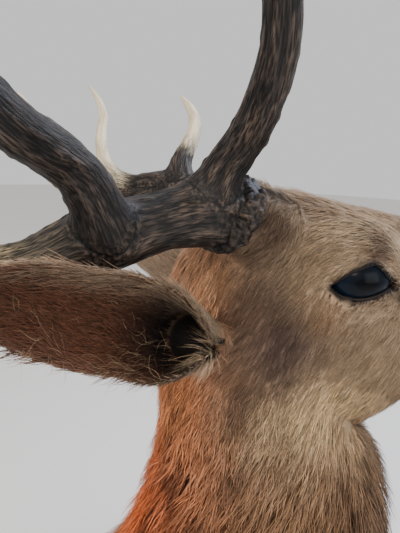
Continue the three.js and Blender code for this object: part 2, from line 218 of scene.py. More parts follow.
# %% Noise
def corner_value(i, j, k, seed):
    """A number from 0 to 1 for a lattice corner: whole-number products mixed by shifts."""
    h = (i * 374761393 + j * 668265263 + k * 2147483647 + seed * 974711) & 0xFFFFFFFF
    h = ((h ^ (h >> 13)) * 1274126177) & 0xFFFFFFFF
    return ((h ^ (h >> 16)) & 0xFFFF) / 65535.0


def noise(points, size, seed=0, round_at=None):
    """Value noise from -1 to 1, with lattice cells of the given size along each axis. round_at is
    a number of cells after which the first axis comes back to its start, for tubes."""
    q = np.asarray(points) / np.asarray(size, dtype=float)
    low = np.floor(q).astype(np.int64)
    t = q - low
    t = t * t * (3 - 2 * t)
    total = np.zeros(q.shape[:-1])
    for corner in range(8):
        step = np.array([corner & 1, corner >> 1 & 1, corner >> 2 & 1])
        cell = low + step
        first = cell[..., 0] % round_at if round_at else cell[..., 0]
        weight = np.prod(np.where(step, t, 1 - t), axis=-1)
        total += weight * corner_value(first, cell[..., 1], cell[..., 2], seed)
    return 2 * total - 1


def noise_at(x, y, z, seed, round_at=None):
    """The noise at places given by three grids, counted in cells."""
    return noise(np.stack(np.broadcast_arrays(x, y, z), axis=-1), 1.0, seed, round_at)


print("noise at three points:", noise(np.array([[0, 0, 0], [5, 1, 2], [9, 9, 9.0]]), 4).round(2))

# %% [markdown]
# The head and neck are one loft. Each station has its top and bottom point
# in the middle plane, half its width, the level of its greatest width and
# how square it is above and below that level. The last number is the depth
# of the coat there: the frame's solids reach out to the coat's tips, and the
# skin lies inside them by that much.

# %% Stations of the head and neck
STATIONS = np.array([
    # top f, top u, low f, low u, half, level, square above, below, coat
    [344, -70, 343, -86, 11, .50, 2.2, 2.2, 0.5],  # tip of the nose
    [339, -55, 337, -104, 26, .50, 2.3, 2.4, 0.5],  # nose pad
    [327, -46, 327, -119, 33, .46, 2.4, 2.4, 1.0],  # nostrils
    [304, -40, 303, -128, 36, .44, 2.3, 2.3, 2.0],  # lips
    [266, -31, 266, -137, 39, .45, 2.2, 2.2, 2.5],  # corner of the mouth
    [222, -20, 226, -154, 45, .47, 2.2, 2.1, 3.0],  # muzzle
    [180, -9, 190, -175, 56, .50, 2.3, 2.1, 3.5],  # front of the cheek
    [140, -2, 158, -194, 70, .56, 2.5, 2.1, 4.0],  # tear pit
    [98, 5, 139, -206, 82, .62, 2.7, 2.1, 4.5],  # eyes
    [45, 14, 132, -212, 80, .55, 2.5, 2.1, 5.5],  # forehead
    [-5, 10, 135, -216, 76, .50, 2.2, 2.1, 6.5],  # poll
    [-42, -38, 143, -219, 77, .50, 2.1, 2.1, 8.0],  # nape
    [-61, -85, 153, -227, 82, .50, 2.1, 2.1, 10.0],  # throat
    [-66, -150, 168, -247, 90, .50, 2.1, 2.1, 12.0],  # top of the neck
    [-69, -235, 183, -284, 102, .50, 2.1, 2.1, 14.0],  # middle of the neck
    [-88, -320, 188, -345, 116, .48, 2.1, 2.1, 16.0],  # full neck
    [-124, -404, 173, -430, 128, .46, 2.1, 2.1, 17.0],  # low neck
    [-190, -474, 116, -532, 136, .46, 2.1, 2.2, 17.0],  # base of the neck
    [-268, -515, 2, -635, 136, .47, 2.1, 2.2, 15.0],  # shoulder
    [-336, -535, -160, -728, 128, .48, 2.1, 2.2, 13.0],  # back of the shoulder
    [-373.7, -543, -373.7, -792, 118, .50, 2.1, 2.2, 10.0],  # at the board
])
LAST = len(STATIONS) - 1.0
BOARD_FACE = -374.0  # forward, where the neck ends

# Broad swellings and hollows: middle (side, forward, up), reach and how far
# they push the surface sideways. The frame's head has the same.
FORMS = [
    ((70, 104, -14), (34, 44, 20), 5.0),  # ridge of the brow
    ((66, 70, -125), (60, 55, 50), 5.0),  # chewing muscle
    ((62, 148, -62), (34, 26, 24), -5.0),  # hollow before the eye
    ((44, 235, -92), (30, 42, 30), -2.5),  # side of the muzzle
    ((30, 328, -76), (20, 15, 16), 3.0),  # wing of the nostril
]


def along(values, s):
    """Catmull-Rom values of a list at fractional places: the cubic through each pair of neighbours
    whose slope at each is half the way from the one before to the one after."""
    ext = np.concatenate([[2 * values[0] - values[1]], values, [2 * values[-1] - values[-2]]])
    i = np.clip(np.floor(s).astype(int), 0, len(values) - 2)
    t = s - i
    p0, p1, p2, p3 = ext[i], ext[i + 1], ext[i + 2], ext[i + 3]
    bend = 2 * p0 - 5 * p1 + 4 * p2 - p3
    return p1 + 0.5 * t * ((p2 - p0) + t * (bend + t * (3 * p1 - p0 - 3 * p2 + p3)))


def bumps(points, forms):
    """Sum of soft bumps, each push times e^-(distance squared), the distance measured in reaches."""
    total = np.zeros(points.shape[:-1])
    for middle, reach, push in forms:
        total += push * np.exp(-apart(points, middle, reach))
    return total


ARC_STEPS = 401  # points of a half ring before it is cut to even lengths


def half_rings(s, places):
    """Half rings of the body at stations s, from the bottom middle (place 0) to the top middle
    (place 1) by arc length. A ring is a superellipse: its side is half width times cos^(2/n) and
    its level rises by sin^(2/n), with n its squareness above or below its widest level."""
    top_f, top_u, low_f, low_u, half, level, above, below, coat = (along(c, s)[:, None] for c in STATIONS.T)
    a = np.linspace(-np.pi / 2, np.pi / 2, ARC_STEPS)[None]
    power = 2 / np.where(a > 0, above, below)
    across = np.cos(a) ** power
    rising = np.sign(a) * np.abs(np.sin(a)) ** power
    height = level + np.where(rising > 0, 1 - level, level) * rising
    tall = np.hypot(top_f - low_f, top_u - low_u)
    unit_f, unit_u = (top_f - low_f) / tall, (top_u - low_u) / tall
    rise = coat + (tall - 2 * coat) * height
    points = np.stack([across * (half - coat), low_f + unit_f * rise, low_u + unit_u * rise], axis=-1)
    points[..., 0] += bumps(points, FORMS) * np.minimum(1, points[..., 0] / 12)
    step = np.linalg.norm(np.diff(points, axis=1), axis=-1)
    length = np.concatenate([np.zeros((len(s), 1)), np.cumsum(step, axis=1)], axis=1)
    length = length / length[:, -1:] + 2 * np.arange(len(s))[:, None]
    wanted = np.broadcast_to(places, (len(s), len(places))) + 2 * np.arange(len(s))[:, None]
    found = [np.interp(wanted.ravel(), length.ravel(), points[..., k].ravel()) for k in range(3)]
    return np.stack(found, axis=-1).reshape(len(s), len(places), 3)


def spread(low, high, spacing, count=2000):
    """Values from low to high whose steps follow spacing(value): the running sum of 1 / spacing,
    cut into equal shares."""
    fine = np.linspace(low, high, count)
    run = np.concatenate([[0], np.cumsum(np.diff(fine) / spacing((fine[1:] + fine[:-1]) / 2))])
    shares = np.linspace(0, run[-1], int(np.ceil(run[-1])) + 1)
    return np.interp(shares, run, fine)


# Rings and columns stand close together round the eye and wider on the neck.
STRETCHES = 400  # of the line along the side on which lengths are measured
side_line = half_rings(np.linspace(0, LAST, STRETCHES + 1), np.array([0.62]))[:, 0]
per_station = np.linalg.norm(np.diff(side_line, axis=0), axis=-1) * STRETCHES / LAST
middles = (np.arange(STRETCHES) + 0.5) * LAST / STRETCHES


def ring_spacing(s):
    """Stations per ring, from a wanted distance in mm: 2.6 on the muzzle, 1.3 at the eye, 4.9 on the neck."""
    mm = 2.6 - 1.3 * np.exp(-((s - 8.05) / 0.95) ** 4) + 2.3 * smooth_step(s, 10.5, 14)
    return mm / np.interp(s, middles, per_station)


ring_places = spread(0.0, LAST, ring_spacing)
column_places = spread(0.0, 1.0, lambda q: 0.0125 - 0.0083 * np.exp(-((q - 0.715) / 0.085) ** 4))
print(len(ring_places), "rings of", 2 * (len(column_places) - 1), "points")

# %% [markdown]
# On the loft the face is carved: brow, folds round the eye, the tear pit, the
# line of the mouth and the nostrils. Soft bumps push the surface out along
# its own normal, and grooves pull it in near a line of a few points.

# %% Carve the face
FACE_FORMS = [
    ((60, 112, -8), (26, 30, 12), 3.2),  # the brow's overhang
    ((74, 74, -22), (20, 20, 12), 2.2),  # its rear end
    ((78, 92, -78), (16, 30, 9), 1.8),  # fold under the eye
    ((80, 66, -52), (9, 9, 12), -2.0),  # the eye's rear corner
    ((56, 160, -98), (14, 60, 14), 1.0),  # cheek bone's edge
    ((60, 150, -70), (20, 22, 14), -0.8),  # tear pit
    ((66, 40, -160), (30, 40, 30), 2.5),  # angle of the jaw
    ((70, 28, -84), (22, 22, 26), -3.0),  # temple before the ear
    ((24, 328, -58), (12, 14, 9), 2.6),  # upper rim of the nostril
    ((24, 300, -112), (22, 26, 10), 2.0),  # upper lip
    ((0, 300, -132), (20, 28, 12), 2.0),  # chin
    ((0, 60, 14), (26, 50, 20), 2.0),  # crown's tuft
]
GROOVES = [  # points, width, depth; the first is the mouth
    ([(0, 342, -100), (22, 334, -103), (34, 304, -103), (38, 268, -106), (41, 244, -104)], 2.6, -6.0),
    ([(0, 346, -72), (0, 343, -98)], 2.0, -2.2),  # cleft of the nose
    ([(64, 124, -53), (61, 138, -60), (57, 154, -72)], 5.5, -0.8),  # tear line
    ([(78, 72, -66), (80, 92, -72), (74, 116, -66)], 3.2, -1.6),  # lower lid's fold
    ([(76, 70, -32), (74, 94, -22), (66, 120, -30)], 3.0, -1.6),  # upper lid's fold
]
MOUTH, TEAR_LINE = GROOVES[0][0], GROOVES[2][0]
NOSTRILS = [((21, 338, -72), (6.5, 9, 5), -11.0), ((28, 330, -64), (5, 8, 4), -8.0)]


def off_path(points, path):
    """Distance from each point to a line of straight stretches."""
    best = np.full(points.shape[:-1], 1e9)
    path = np.array(path, dtype=float)
    for a, b in zip(path[:-1], path[1:]):
        t = np.clip(((points - a) @ (b - a)) / ((b - a) @ (b - a)), 0, 1)
        best = np.minimum(best, np.linalg.norm(points - a - t[..., None] * (b - a), axis=-1))
    return best


def outward(grid):
    """Normals of a half-ring grid, from the cross product of its two directions."""
    normal = unit(np.cross(np.gradient(grid, axis=0), np.gradient(grid, axis=1)))
    outwards = grid - grid[:, [0, -1]].mean(axis=1, keepdims=True)
    flip = np.sign((normal * outwards).sum(axis=-1, keepdims=True))
    normal = normal * np.where(flip == 0, 1, flip)
    normal[:, [0, -1], 0] = 0
    return unit(normal)


def carve(grid):
    """The grid pushed along its normals by the bumps, grooves and nostrils of the face."""
    push = bumps(grid, FACE_FORMS + NOSTRILS)
    for path, width, depth in GROOVES:
        push += depth * np.exp(-(off_path(grid, path) / width) ** 2)
    return grid + outward(grid) * push[..., None]


# %% [markdown]
# The eye is a glass ball set deep in the head, and the lids are skin drawn
# over it. Seen from the side, the opening is an almond between two curves.
# Outside it the skin lies on the ball at a lid's thickness; inside it drops
# away behind the ball. Points of the grid near an edge are moved onto it, so
# that the lid has a clean rim.

# %% Lids
EYE = {"at": np.array([60.5, 99.5, -46.0]), "radii": np.array([20.0, 25.0, 20.0])}
LID = 2.4  # its thickness over the ball
# Forward and up from the ball's middle, from the rear corner to the front one.
UPPER_LID = np.array([(-24, -5.5), (-20, 1), (-12, 8.5), (-2, 13), (6, 15), (12, 11), (17, 5), (23, 1),
                      (29, -4)])
LOWER_LID = np.array([(-24, -6.5), (-20, -11), (-14, -13.2), (-5, -14), (3, -12.5), (11, -9.5), (17, -7),
                      (23, -6), (29, -7)])
REAR, FRONT = UPPER_LID[0, 0], UPPER_LID[-1, 0]


def side_view(points):
    """Forward and up from the ball's middle."""
    return points[..., 1] - EYE["at"][1], points[..., 2] - EYE["at"][2]


def round_eye(points, forward, up, side):
    """True within forward and up of the ball's middle and further out than side."""
    a, b = side_view(points)
    return (np.abs(a) < forward) & (np.abs(b) < up) & (points[..., 0] > side)


def lid_heights(a):
    """Heights of the upper and the lower lid."""
    return np.interp(a, *UPPER_LID.T), np.interp(a, *LOWER_LID.T)


def lid_gap(a, b):
    """How far a point of the side view is outside the almond, in mm up or down; below 0 is inside."""
    upper, lower = lid_heights(a)
    gap = np.maximum(b - upper, lower - b)
    return np.where(a < REAR, np.maximum(gap, REAR - a), np.where(a > FRONT, np.maximum(gap, a - FRONT), gap))


def ball_side(a, b, more=0.0):
    """The side reached by the eyeball, grown by more, at a place of the side view."""
    side, forward, up = EYE["radii"] + more
    left = 1 - (a / forward) ** 2 - (b / up) ** 2
    return EYE["at"][0] + side * np.sqrt(np.maximum(left, 0)) - 30 * np.maximum(-left, 0)


def set_lids(grid):
    """Lids over the ball: the greater of the skin's own side and the lid's, blended over 3 mm."""
    a, b = side_view(grid)
    near = round_eye(grid, 42, 34, 40)
    gap = lid_gap(a, b)
    span = (a > REAR + 1) & (a < FRONT - 1)
    upper, lower = lid_heights(a)
    edge = np.where(b > (upper + lower) / 2, upper, lower)
    snap = near & span & (np.abs(b - edge) < 0.75)
    grid[..., 2] = np.where(snap, edge + EYE["at"][2], grid[..., 2])
    b = np.where(snap, edge, b)
    gap = np.where(snap, 0, gap)
    rim = LID * np.sqrt(smooth_step(gap, -0.4, 1.6)) + 0.9 * np.exp(-((gap - 1.6) / 1.3) ** 2)
    lid = ball_side(a, b, 0.0) + rim
    skin = grid[..., 0]
    blend = np.clip(0.5 + (lid - skin) / 6.0, 0, 1)
    over = skin * (1 - blend) + lid * blend + 6.0 * blend * (1 - blend) / 2
    sunk = ball_side(a, b) - 5.0 * smooth_step(-gap, 0, 1.2)
    close = smooth_step(gap, 9, 2)
    draped = over * close + np.maximum(over, skin) * (1 - close)
    shaped = np.where(gap < -0.01, np.minimum(sunk, over), draped)
    grid[..., 0] = np.where(near, shaped, skin)
    return grid


skin_half = set_lids(carve(half_rings(ring_places, column_places)))
print("skin's widest side, mm:", skin_half[..., 0].max().round(1))

# %% [markdown]
# The ears are leaves rolled round their long axes: nearly tubes at the root,
# open and flat towards the tip, with a wall that thins out. The pedicles are
# the short stumps of bone and skin that carry the antlers.

# %% Ears and pedicles
EAR = {
    "root": np.array([61.0, -20.0, -102.0]), "length": 214.0, "width": 71.0, "wall": 7.0, "base": 18.0,
    "arcs": (2.95, 1.3, 0.8), "facing": (0.60, 0.70, -0.10), "offset": 0.35,
    "axis": {"right": (0.71, -0.55, 0.42), "left": (0.74, -0.58, 0.28)},
}


def ear_frame(name):
    """The ear's long axis, the way its hollow faces and the way across, as (side, forward, up)."""
    axis = unit(np.array(EAR["axis"][name], dtype=float))
    open_way = np.array(EAR["facing"], dtype=float)
    open_way = unit(open_way - (open_way @ axis) * axis)
    return axis, open_way, np.cross(open_way, axis)


def ear_size(t):
    """Half width, half roll in radians and radius at a share t of the length. The outline is
    sin(pi (0.16 + 0.84 t)^1.05)^0.62, and the radius is the half width over the sine of the roll."""
    leaf = np.sin(np.pi * (0.16 + 0.84 * t) ** 1.05).clip(0) ** 0.62
    half = np.maximum(1.2, EAR["base"] + (EAR["width"] / 2 * leaf - EAR["base"]) * np.clip(3 * t, 0, 1))
    root, low, tip = EAR["arcs"]
    roll = root + (low - root) * smooth_step(t, 0.1, 0.46) + (tip - low) * smooth_step(t, 0.5, 1.0)
    return half, roll, half / np.sin(np.minimum(roll, np.pi / 2))


def ear_wall(t, radius):
    """Thickness of the leaf's middle: thinner towards the tip, at most half the radius."""
    return np.minimum(EAR["wall"] * (1 - 0.62 * t), radius * 0.5)


def ear_rings(name, rows=76, columns=34):
    """Rings of the ear: out along the back from edge to edge and home along the inside. The wall is
    thick in the middle and closes at both edges as sqrt(1 - v^6). Towards the root the inside draws in
    to a narrow pit, so the roll has a floor."""
    axis, open_way, wide = ear_frame(name)
    t = spread(0, 1, lambda x: 0.018 - 0.012 * smooth_step(x, 0.6, 1))
    t = np.interp(np.linspace(0, 1, rows), np.linspace(0, 1, len(t)), t)[:, None]
    v = np.sin(np.linspace(-np.pi / 2, np.pi / 2, columns))[None]
    half, roll, radius = ear_size(t)
    wall = ear_wall(t, radius)
    wave = 1.4 * noise_at(t * 12, v * 2.2, 0, 3) * t
    thick = wall / 2 * np.sqrt(np.maximum(1 - v ** 6, 0))
    rings = []
    pit = 0.12 + 0.88 * smooth_step(t, 0.01, 0.13)
    for reach in (radius - wall / 2 + thick + wave, ((radius - wall / 2 - thick + wave) * pit)[:, -2:0:-1]):
        angle = roll * 0.985 * (v if reach.shape[1] == columns else v[:, -2:0:-1])
        centre = EAR["root"] + axis * EAR["length"] * t[..., None]
        rings.append(centre + open_way * (radius * EAR["offset"] - reach * np.cos(angle))[..., None]
                     + wide * (reach * np.sin(angle))[..., None])
    return np.concatenate(rings, axis=1)


PEDICLE = {"root": np.array([32.0, 52.0, -22.0]), "top": np.array([60.0, 1.0, -1.0]), "radius": 26.0}


def pedicle_rings(rows=14, columns=48):
    """A stump whose foot, sunk in the skull, is slimmer."""
    t = np.linspace(0, 1, rows)[:, None, None]
    axis = unit(PEDICLE["top"] - PEDICLE["root"])
    one = unit(np.cross(axis, [0, 0, 1]))
    two = np.cross(axis, one)
    radius = PEDICLE["radius"] * (1.1 - 0.1 * t) * (0.72 + 0.28 * smooth_step(t, 0, 0.35))
    return PEDICLE["root"] + (PEDICLE["top"] - PEDICLE["root"]) * t + radius * around(turn(columns), one, two)


print("ear grid", ear_rings("right").shape, "pedicle grid", pedicle_rings().shape)

# %% [markdown]
# Colour comes before the pieces, because skin and coat share it. One function
# gives the coat's colour at any place: a fawn ground, with soft patches laid
# over it in turn, each a colour, a middle, a reach and a strength. Noise
# shifts the places a little, so that no patch has a clean edge.

# %% Markings
GROUND = "#a6927c"
PATCHES = [  # colour, middle, reach, strength
    ("#7f5a3b", (60, 50, -370), (130, 190, 200), 0.97),  # neck's side
    ("#8b6444", (60, -190, -560), (130, 160, 160), 0.9),  # shoulder
    ("#dc7340", (16, -86, -240), (80, 72, 180), 1.0),  # rufous nape, its own red coat brightened by painted warm light
    ("#cf8a5c", (50, -50, -150), (50, 40, 70), 0.95),  # behind the ear
    ("#f0b98c", (56, -36, -50), (36, 36, 38), 1.0),  # below the burr
    ("#5d4a3a", (10, 180, -330), (80, 66, 160), 0.92),  # throat
    ("#4b3d33", (0, 200, -420), (60, 60, 120), 0.7),  # painted shade on the front of the throat
    ("#9a856f", (10, 130, 8), (44, 110, 22), 0.95),  # forehead's brown locks
    ("#75614f", (0, 250, -24), (34, 90, 18), 0.8),  # bridge of the nose
    ("#aa967d", (66, 100, -14), (34, 36, 15), 0.9),  # pale brow, a painted highlight along the ridge of the brow
    ("#b39a7b", (80, 60, -40), (26, 26, 34), 0.8),  # behind the eye
    ("#9c866e", (78, 104, -92), (26, 40, 24), 0.75),  # under the eye
    ("#cbb189", (74, 86, -156), (34, 62, 34), 0.85),  # lower cheek
    ("#55443a", (66, 119, -25), (14, 14, 12), 0.85),  # darker before the eye, under the brow
    ("#cfc1aa", (58, 136, -16), (12, 9, 14), 0.75),  # pale streak beyond it
    ("#b5916e", (77, 72, -70), (16, 14, 18), 0.6),  # golden hair behind the eye
    ("#48352b", (73, 30, -5), (14, 20, 15), 0.85),  # dark hair before the burr
    ("#4f3a2e", (72, 12, -146), (24, 10, 30), 0.7),  # stripe behind the jaw
    ("#54433e", (78, 42, -98), (26, 28, 40), 0.9),  # cheek's dark patch
    ("#6f594c", (70, 16, -72), (26, 24, 30), 0.8),  # temple
    ("#7c6858", (40, 240, -80), (30, 60, 40), 0.6),  # muzzle's side
    ("#b79c7b", (56, 114, -186), (40, 46, 24), 0.7),  # jaw
    ("#c4b49c", (20, 290, -134), (34, 40, 16), 0.85),  # pale chin
    ("#2c211c", (44, 26, 12), (22, 20, 12), 0.8),  # dark collar of the burr
    ("#3a2c25", (62, 10, -20), (16, 18, 10), 0.5),  # the burr's painted shadow on the skin
    ("#1d1815", (30, 326, -68), (18, 20, 14), 0.9),  # round the nostril
]
# STREAK: dark streaks on the neck, partly the coat's own, partly painted shade between the long locks.
STREAK = hex_colour("#2f2019")
EAR_PALE, EAR_BACK = hex_colour("#9a8671"), hex_colour("#7d6a58")
# The hollow's colour is painted shade: near black at the root of the ear's roll.
EAR_DEEP, EAR_HOLLOW_SHADE = hex_colour("#63402f"), hex_colour("#100b0a")
LID_SKIN = hex_colour("#1f1815")


def neckness(points):
    """0 on the head and 1 on the neck, by the height below a line that slopes up to the nape."""
    return smooth_step(-(points[..., 2] + 0.25 * points[..., 1]), 125, 270)


def markings(points):
    """Linear colour of the coat at places given as (side, forward, up): each patch is mixed in by
    its strength within half its reach, and by e^(1/4 - d^2) of that beyond."""
    shift = [noise(points, 26, seed) * 7 + noise(points, 9, seed + 5) * 3 for seed in (1, 2, 3)]
    q = points + np.stack(shift, axis=-1)
    colour = hex_colour(GROUND) * (1 + 0.14 * noise(points, (18, 34, 26), 6))[..., None]
    for code, middle, reach, strength in PATCHES:
        share = strength * np.exp(-np.maximum(apart(q, middle, reach) - 0.25, 0))
        colour = mix(colour, hex_colour(code), share)
    # Streaks on the neck: partly the coat's own, partly painted shade in the gaps between long locks.
    streak = smooth_step(noise(q, (10, 34, 60), 8) + 0.7 * noise(q, (5, 14, 30), 9), 0.0, 0.9)
    colour = mix(colour, STREAK, 0.8 * neckness(points) * streak)
    rim = (1 - smooth_step(lid_gap(*side_view(points)), 1.5, 5.0)) * round_eye(points, 36, 30, 50)
    pit = 0.85 * np.exp(-(off_path(points, TEAR_LINE) / 4.5) ** 2)
    mouth = 0.9 * np.exp(-(off_path(points, MOUTH) / 2.6) ** 2)
    pad = smooth_step(q[..., 1], 325, 330) * smooth_step(q[..., 2], -106, -99)
    return mix(colour, LID_SKIN, np.maximum.reduce([rim, pit, mouth, pad]))


def ear_markings(t, inside):
    """Colour of an ear at a share t of its length.
    It is grey-fawn outside and red-brown inside; near the root of the roll it is painted shade, near black."""
    back = mix(EAR_BACK, EAR_PALE, smooth_step(t, 0.0, 0.6))
    return mix(back, mix(EAR_HOLLOW_SHADE, EAR_DEEP, smooth_step(t, 0.16, 0.46)), inside)


print("cheek and nape:", markings(np.array([[78.0, 36, -116], [20, -90, -250]])).round(3).tolist())

# %% [markdown]
# Materials. Deer hair is a dull, slightly waxy fibre: rough, with a faint
# gloss along each strand. The skin under it shows only in the partings, so
# it is the same colour, darkened as painted shade of the partings, with a
# fine grain. Both read the markings from the mesh.

# %% Materials of skin and hair
def add(tree, kind, settings=None, links=None):
    """Adds one node: settings gives inputs or properties by name, links gives inputs their sources."""
    node = tree.nodes.new(kind)
    for key, value in (settings or {}).items():
        if isinstance(key, int) or key in node.inputs:
            node.inputs[key].default_value = value
        else:
            setattr(node, key, value)
    for key, source in (links or {}).items():
        tree.links.new(source, node.inputs[key])
    return node


def new_material(name):
    """An empty node material with its output, and the tree to fill."""
    material = bpy.data.materials.new(name)
    material.use_nodes = True
    material.node_tree.nodes.clear()
    return material, material.node_tree


def finish_material(tree, settings, links):
    """Ends a tree in a Principled surface."""
    shader = add(tree, "ShaderNodeBsdfPrincipled", settings, links)
    add(tree, "ShaderNodeOutputMaterial", links={"Surface": shader.outputs["BSDF"]})


def speckle(tree, size, detail, where=None, **more):
    """Noise with cells of a size in metres, on the object's own coordinates unless where is given."""
    if where is None:
        where = add(tree, "ShaderNodeTexCoord").outputs["Object"]
    node = add(tree, "ShaderNodeTexNoise", {"Scale": 1 / size, "Detail": detail, **more}, {"Vector": where})
    return node.outputs["Fac"]


def rescaled(tree, value, low, high, to_low, to_high):
    """A value carried from the range low to high to another range, and cut off at its ends."""
    ends = {"From Min": low, "From Max": high, "To Min": to_low, "To Max": to_high}
    return add(tree, "ShaderNodeMapRange", ends, {"Value": value}).outputs["Result"]


def times(tree, colour, share):
    """A colour made darker or lighter by a factor."""
    scaled = add(tree, "ShaderNodeVectorMath", {"operation": "SCALE"}, {0: colour, "Scale": share})
    return scaled.outputs["Vector"]


def raised(tree, height, depth, strength=1.0):
    """A bump of a depth in metres."""
    bump = add(tree, "ShaderNodeBump", {"Strength": strength, "Distance": depth}, {"Height": height})
    return bump.outputs["Normal"]


def painted(name, field, roughness, specular, size=1 * MM, detail=3.0, tones=None, bump=None):
    """A surface whose colour lies on its mesh. A noise with cells of the given size changes it between
    two tones, and with a bump, a depth and a strength, it is also the surface's grain."""
    material, tree = new_material(name)
    links = {"Base Color": add(tree, "ShaderNodeAttribute", {"attribute_name": field}).outputs["Vector"]}
    if tones or bump:
        grain = speckle(tree, size, detail)
    if tones:
        links["Base Color"] = times(tree, links["Base Color"], rescaled(tree, grain, 0.3, 0.7, *tones))
    if bump:
        links["Normal"] = raised(tree, grain, *bump)
    finish_material(tree, {"Roughness": roughness, "Specular IOR Level": specular}, links)
    return material


# Dull keratin fibre, its strands a little darker and lighter than the coat's own colour.
hair = painted("deer_guard_hair", "coat_colour", 0.62, 0.22, 1.5 * MM, 2.0, (0.8, 1.18))
# Tanned hide under short hair: dull, grained at 1 mm, its colour darkened to 0.5-0.95 of the
# coat's as painted shade in the partings. Its second name marks the ears and pedicles.
hide, hide_part = (painted(name, "coat_colour", 0.7, 0.25, 1.1 * MM, 3.0, (0.5, 0.95), (0.6 * MM, 0.6))
                   for name in ("deer_hide", "deer_hide_of_ear"))
print("materials:", hair.name, hide.name)

# %% [markdown]
# Head, neck, ears and pedicles become one skin. The Boolean modifier joins
# them, and the sharp crease it leaves where two of them meet is rubbed away
# by averaging each nearby point with its neighbours.

# %% Join meshes and smooth their creases
def joined(base, parts):
    """The union of closed meshes as one new mesh on the base object; the parts are removed."""
    for part in parts:
        union = base.modifiers.new("union", "BOOLEAN")
        union.operation = "UNION"
        union.solver = "MANIFOLD"
        union.object = part
    graph = bpy.context.evaluated_depsgraph_get()
    mesh = bpy.data.meshes.new_from_object(base.evaluated_get(graph))
    base.modifiers.clear()
    base.data = mesh
    for part in parts:
        bpy.data.objects.remove(part)
    return mesh


def read(data, field, width, kind=np.float32):
    """A property of every element as one array."""
    out = np.zeros(len(data) * width, dtype=kind)
    data.foreach_get(field, out)
    return out.reshape(-1, width) if width > 1 else out


def points_of(mesh):
    """The mesh's points as an array."""
    return read(mesh.vertices, "co", 3).astype(float)


def move_points(mesh, points):
    """Sets the mesh's points from an array."""
    mesh.vertices.foreach_set("co", points.astype(np.float32).ravel())
    mesh.update()


def face_corners(mesh):
    """For every corner of every face: its point, and the face's material."""
    sizes = read(mesh.polygons, "loop_total", 1, np.int32)
    owner = np.repeat(read(mesh.polygons, "material_index", 1, np.int32), sizes)
    return read(mesh.loops, "vertex_index", 1, np.int32), owner


def smooth_crease(mesh, reach, rounds):
    """Averages points nearer than reach to a crease between two materials, rounds times; the share
    of the average falls from 1 on the crease to 0 at the reach."""
    points = points_of(mesh)
    edges = read(mesh.edges, "vertices", 2, np.int32)
    corner, owner = face_corners(mesh)
    touched = np.zeros((len(points), 2), dtype=bool)
    touched[corner, owner] = True
    crease = points[touched.all(axis=1)][::3]
    low, high = crease.min(axis=0) - reach, crease.max(axis=0) + reach
    maybe = np.flatnonzero(((points > low) & (points < high)).all(axis=1))
    far = np.full(len(points), 1e9)
    for chunk in np.array_split(maybe, max(1, len(maybe) // 4000)):
        far[chunk] = np.sqrt(((points[chunk, None] - crease[None]) ** 2).sum(axis=-1).min(axis=1))
    share = (1 - smooth_step(far, 0, reach))[:, None]
    count = np.bincount(edges.ravel(), minlength=len(points))[:, None]
    for _ in range(rounds):
        total = [np.bincount(edges[:, 0], points[edges[:, 1], k], len(points))
                 + np.bincount(edges[:, 1], points[edges[:, 0], k], len(points)) for k in range(3)]
        points += 0.6 * share * (np.stack(total, axis=-1) / np.maximum(count, 1) - points)
    move_points(mesh, points)


# %% [markdown]
# The head and neck are made as one tube, and the ears and pedicles as four
# more. Each has its own part of the skin's unwrap, a box (u0, v0, u1, v1).

# %% The skin
HEAD_CELLS = (0.0, 0.0, 1.0, 0.78)
EAR_CELLS = {"right": (0.01, 0.80, 0.49, 0.95), "left": (0.51, 0.80, 0.99, 0.95)}
PEDICLE_CELLS = {"right": (0.01, 0.96, 0.49, 1.0), "left": (0.51, 0.96, 0.99, 1.0)}
body_rings = np.concatenate([place(skin_half, 1), place(skin_half, -1)[:, -2:0:-1]], axis=1)
skin = closed_tube("skin", body_rings, [hide, hide_part], HEAD_CELLS, index=0)
parts = [closed_tube("part", place(rings, hand), [hide, hide_part], cells[name], index=1)
         for name, hand in HANDS.items()
         for rings, cells in ((ear_rings(name), EAR_CELLS), (pedicle_rings(), PEDICLE_CELLS))]
skin_mesh = joined(skin, parts)
smooth_crease(skin_mesh, 13 * MM, 26)
print("skin:", len(skin_mesh.vertices), "points,", len(skin_mesh.polygons), "faces")

# %% [markdown]
# A place on an ear is known by its share of the ear's length and by whether
# it is inside the roll, which is worked out from where it lies.

# %% Where a place is on an ear
def on_ear(points, hand):
    """For places (side, forward, up): share of the ear's length, way round the roll as an angle over
    the half roll, and 1 inside the leaf, 0 outside, from the distance to the roll's middle line."""
    t, v, inside = np.zeros((3, len(points)))
    for name, sign in HANDS.items():
        axis, open_way, wide = ear_frame(name)
        mine = hand == sign
        rel = points[mine] - EAR["root"]
        t[mine] = np.clip(rel @ axis / EAR["length"], 0, 1)
        _, roll, radius = ear_size(t[mine])
        along_open = radius * EAR["offset"] - rel @ open_way
        across = rel @ wide
        v[mine] = np.arctan2(across, along_open) / roll
        inside[mine] = np.hypot(along_open, across) < radius - ear_wall(t[mine], radius) / 2
    return t, v, inside


def in_roll(points, hand, reach):
    """1 where a place lies inside an ear's roll, deeper than reach within its circle near the root."""
    inside = np.zeros(len(points))
    for name, sign in HANDS.items():
        axis, open_way, _ = ear_frame(name)
        rel = points - EAR["root"]
        t = rel @ axis / EAR["length"]
        radius = ear_size(np.clip(t, 0, 1))[2]
        off = rel - axis * (t * EAR["length"])[:, None] - open_way * (EAR["offset"] * radius)[:, None]
        near_root = (t > -0.01) & (t < 0.3)
        inside += (hand == sign) * near_root * (np.linalg.norm(off, axis=-1) < radius - reach)
    return np.minimum(inside, 1)


def hand_of(points):
    """-1 for places in the frame on the stag's right, 1 for the others."""
    return np.where(points[:, 0] < 0, -1, 1)


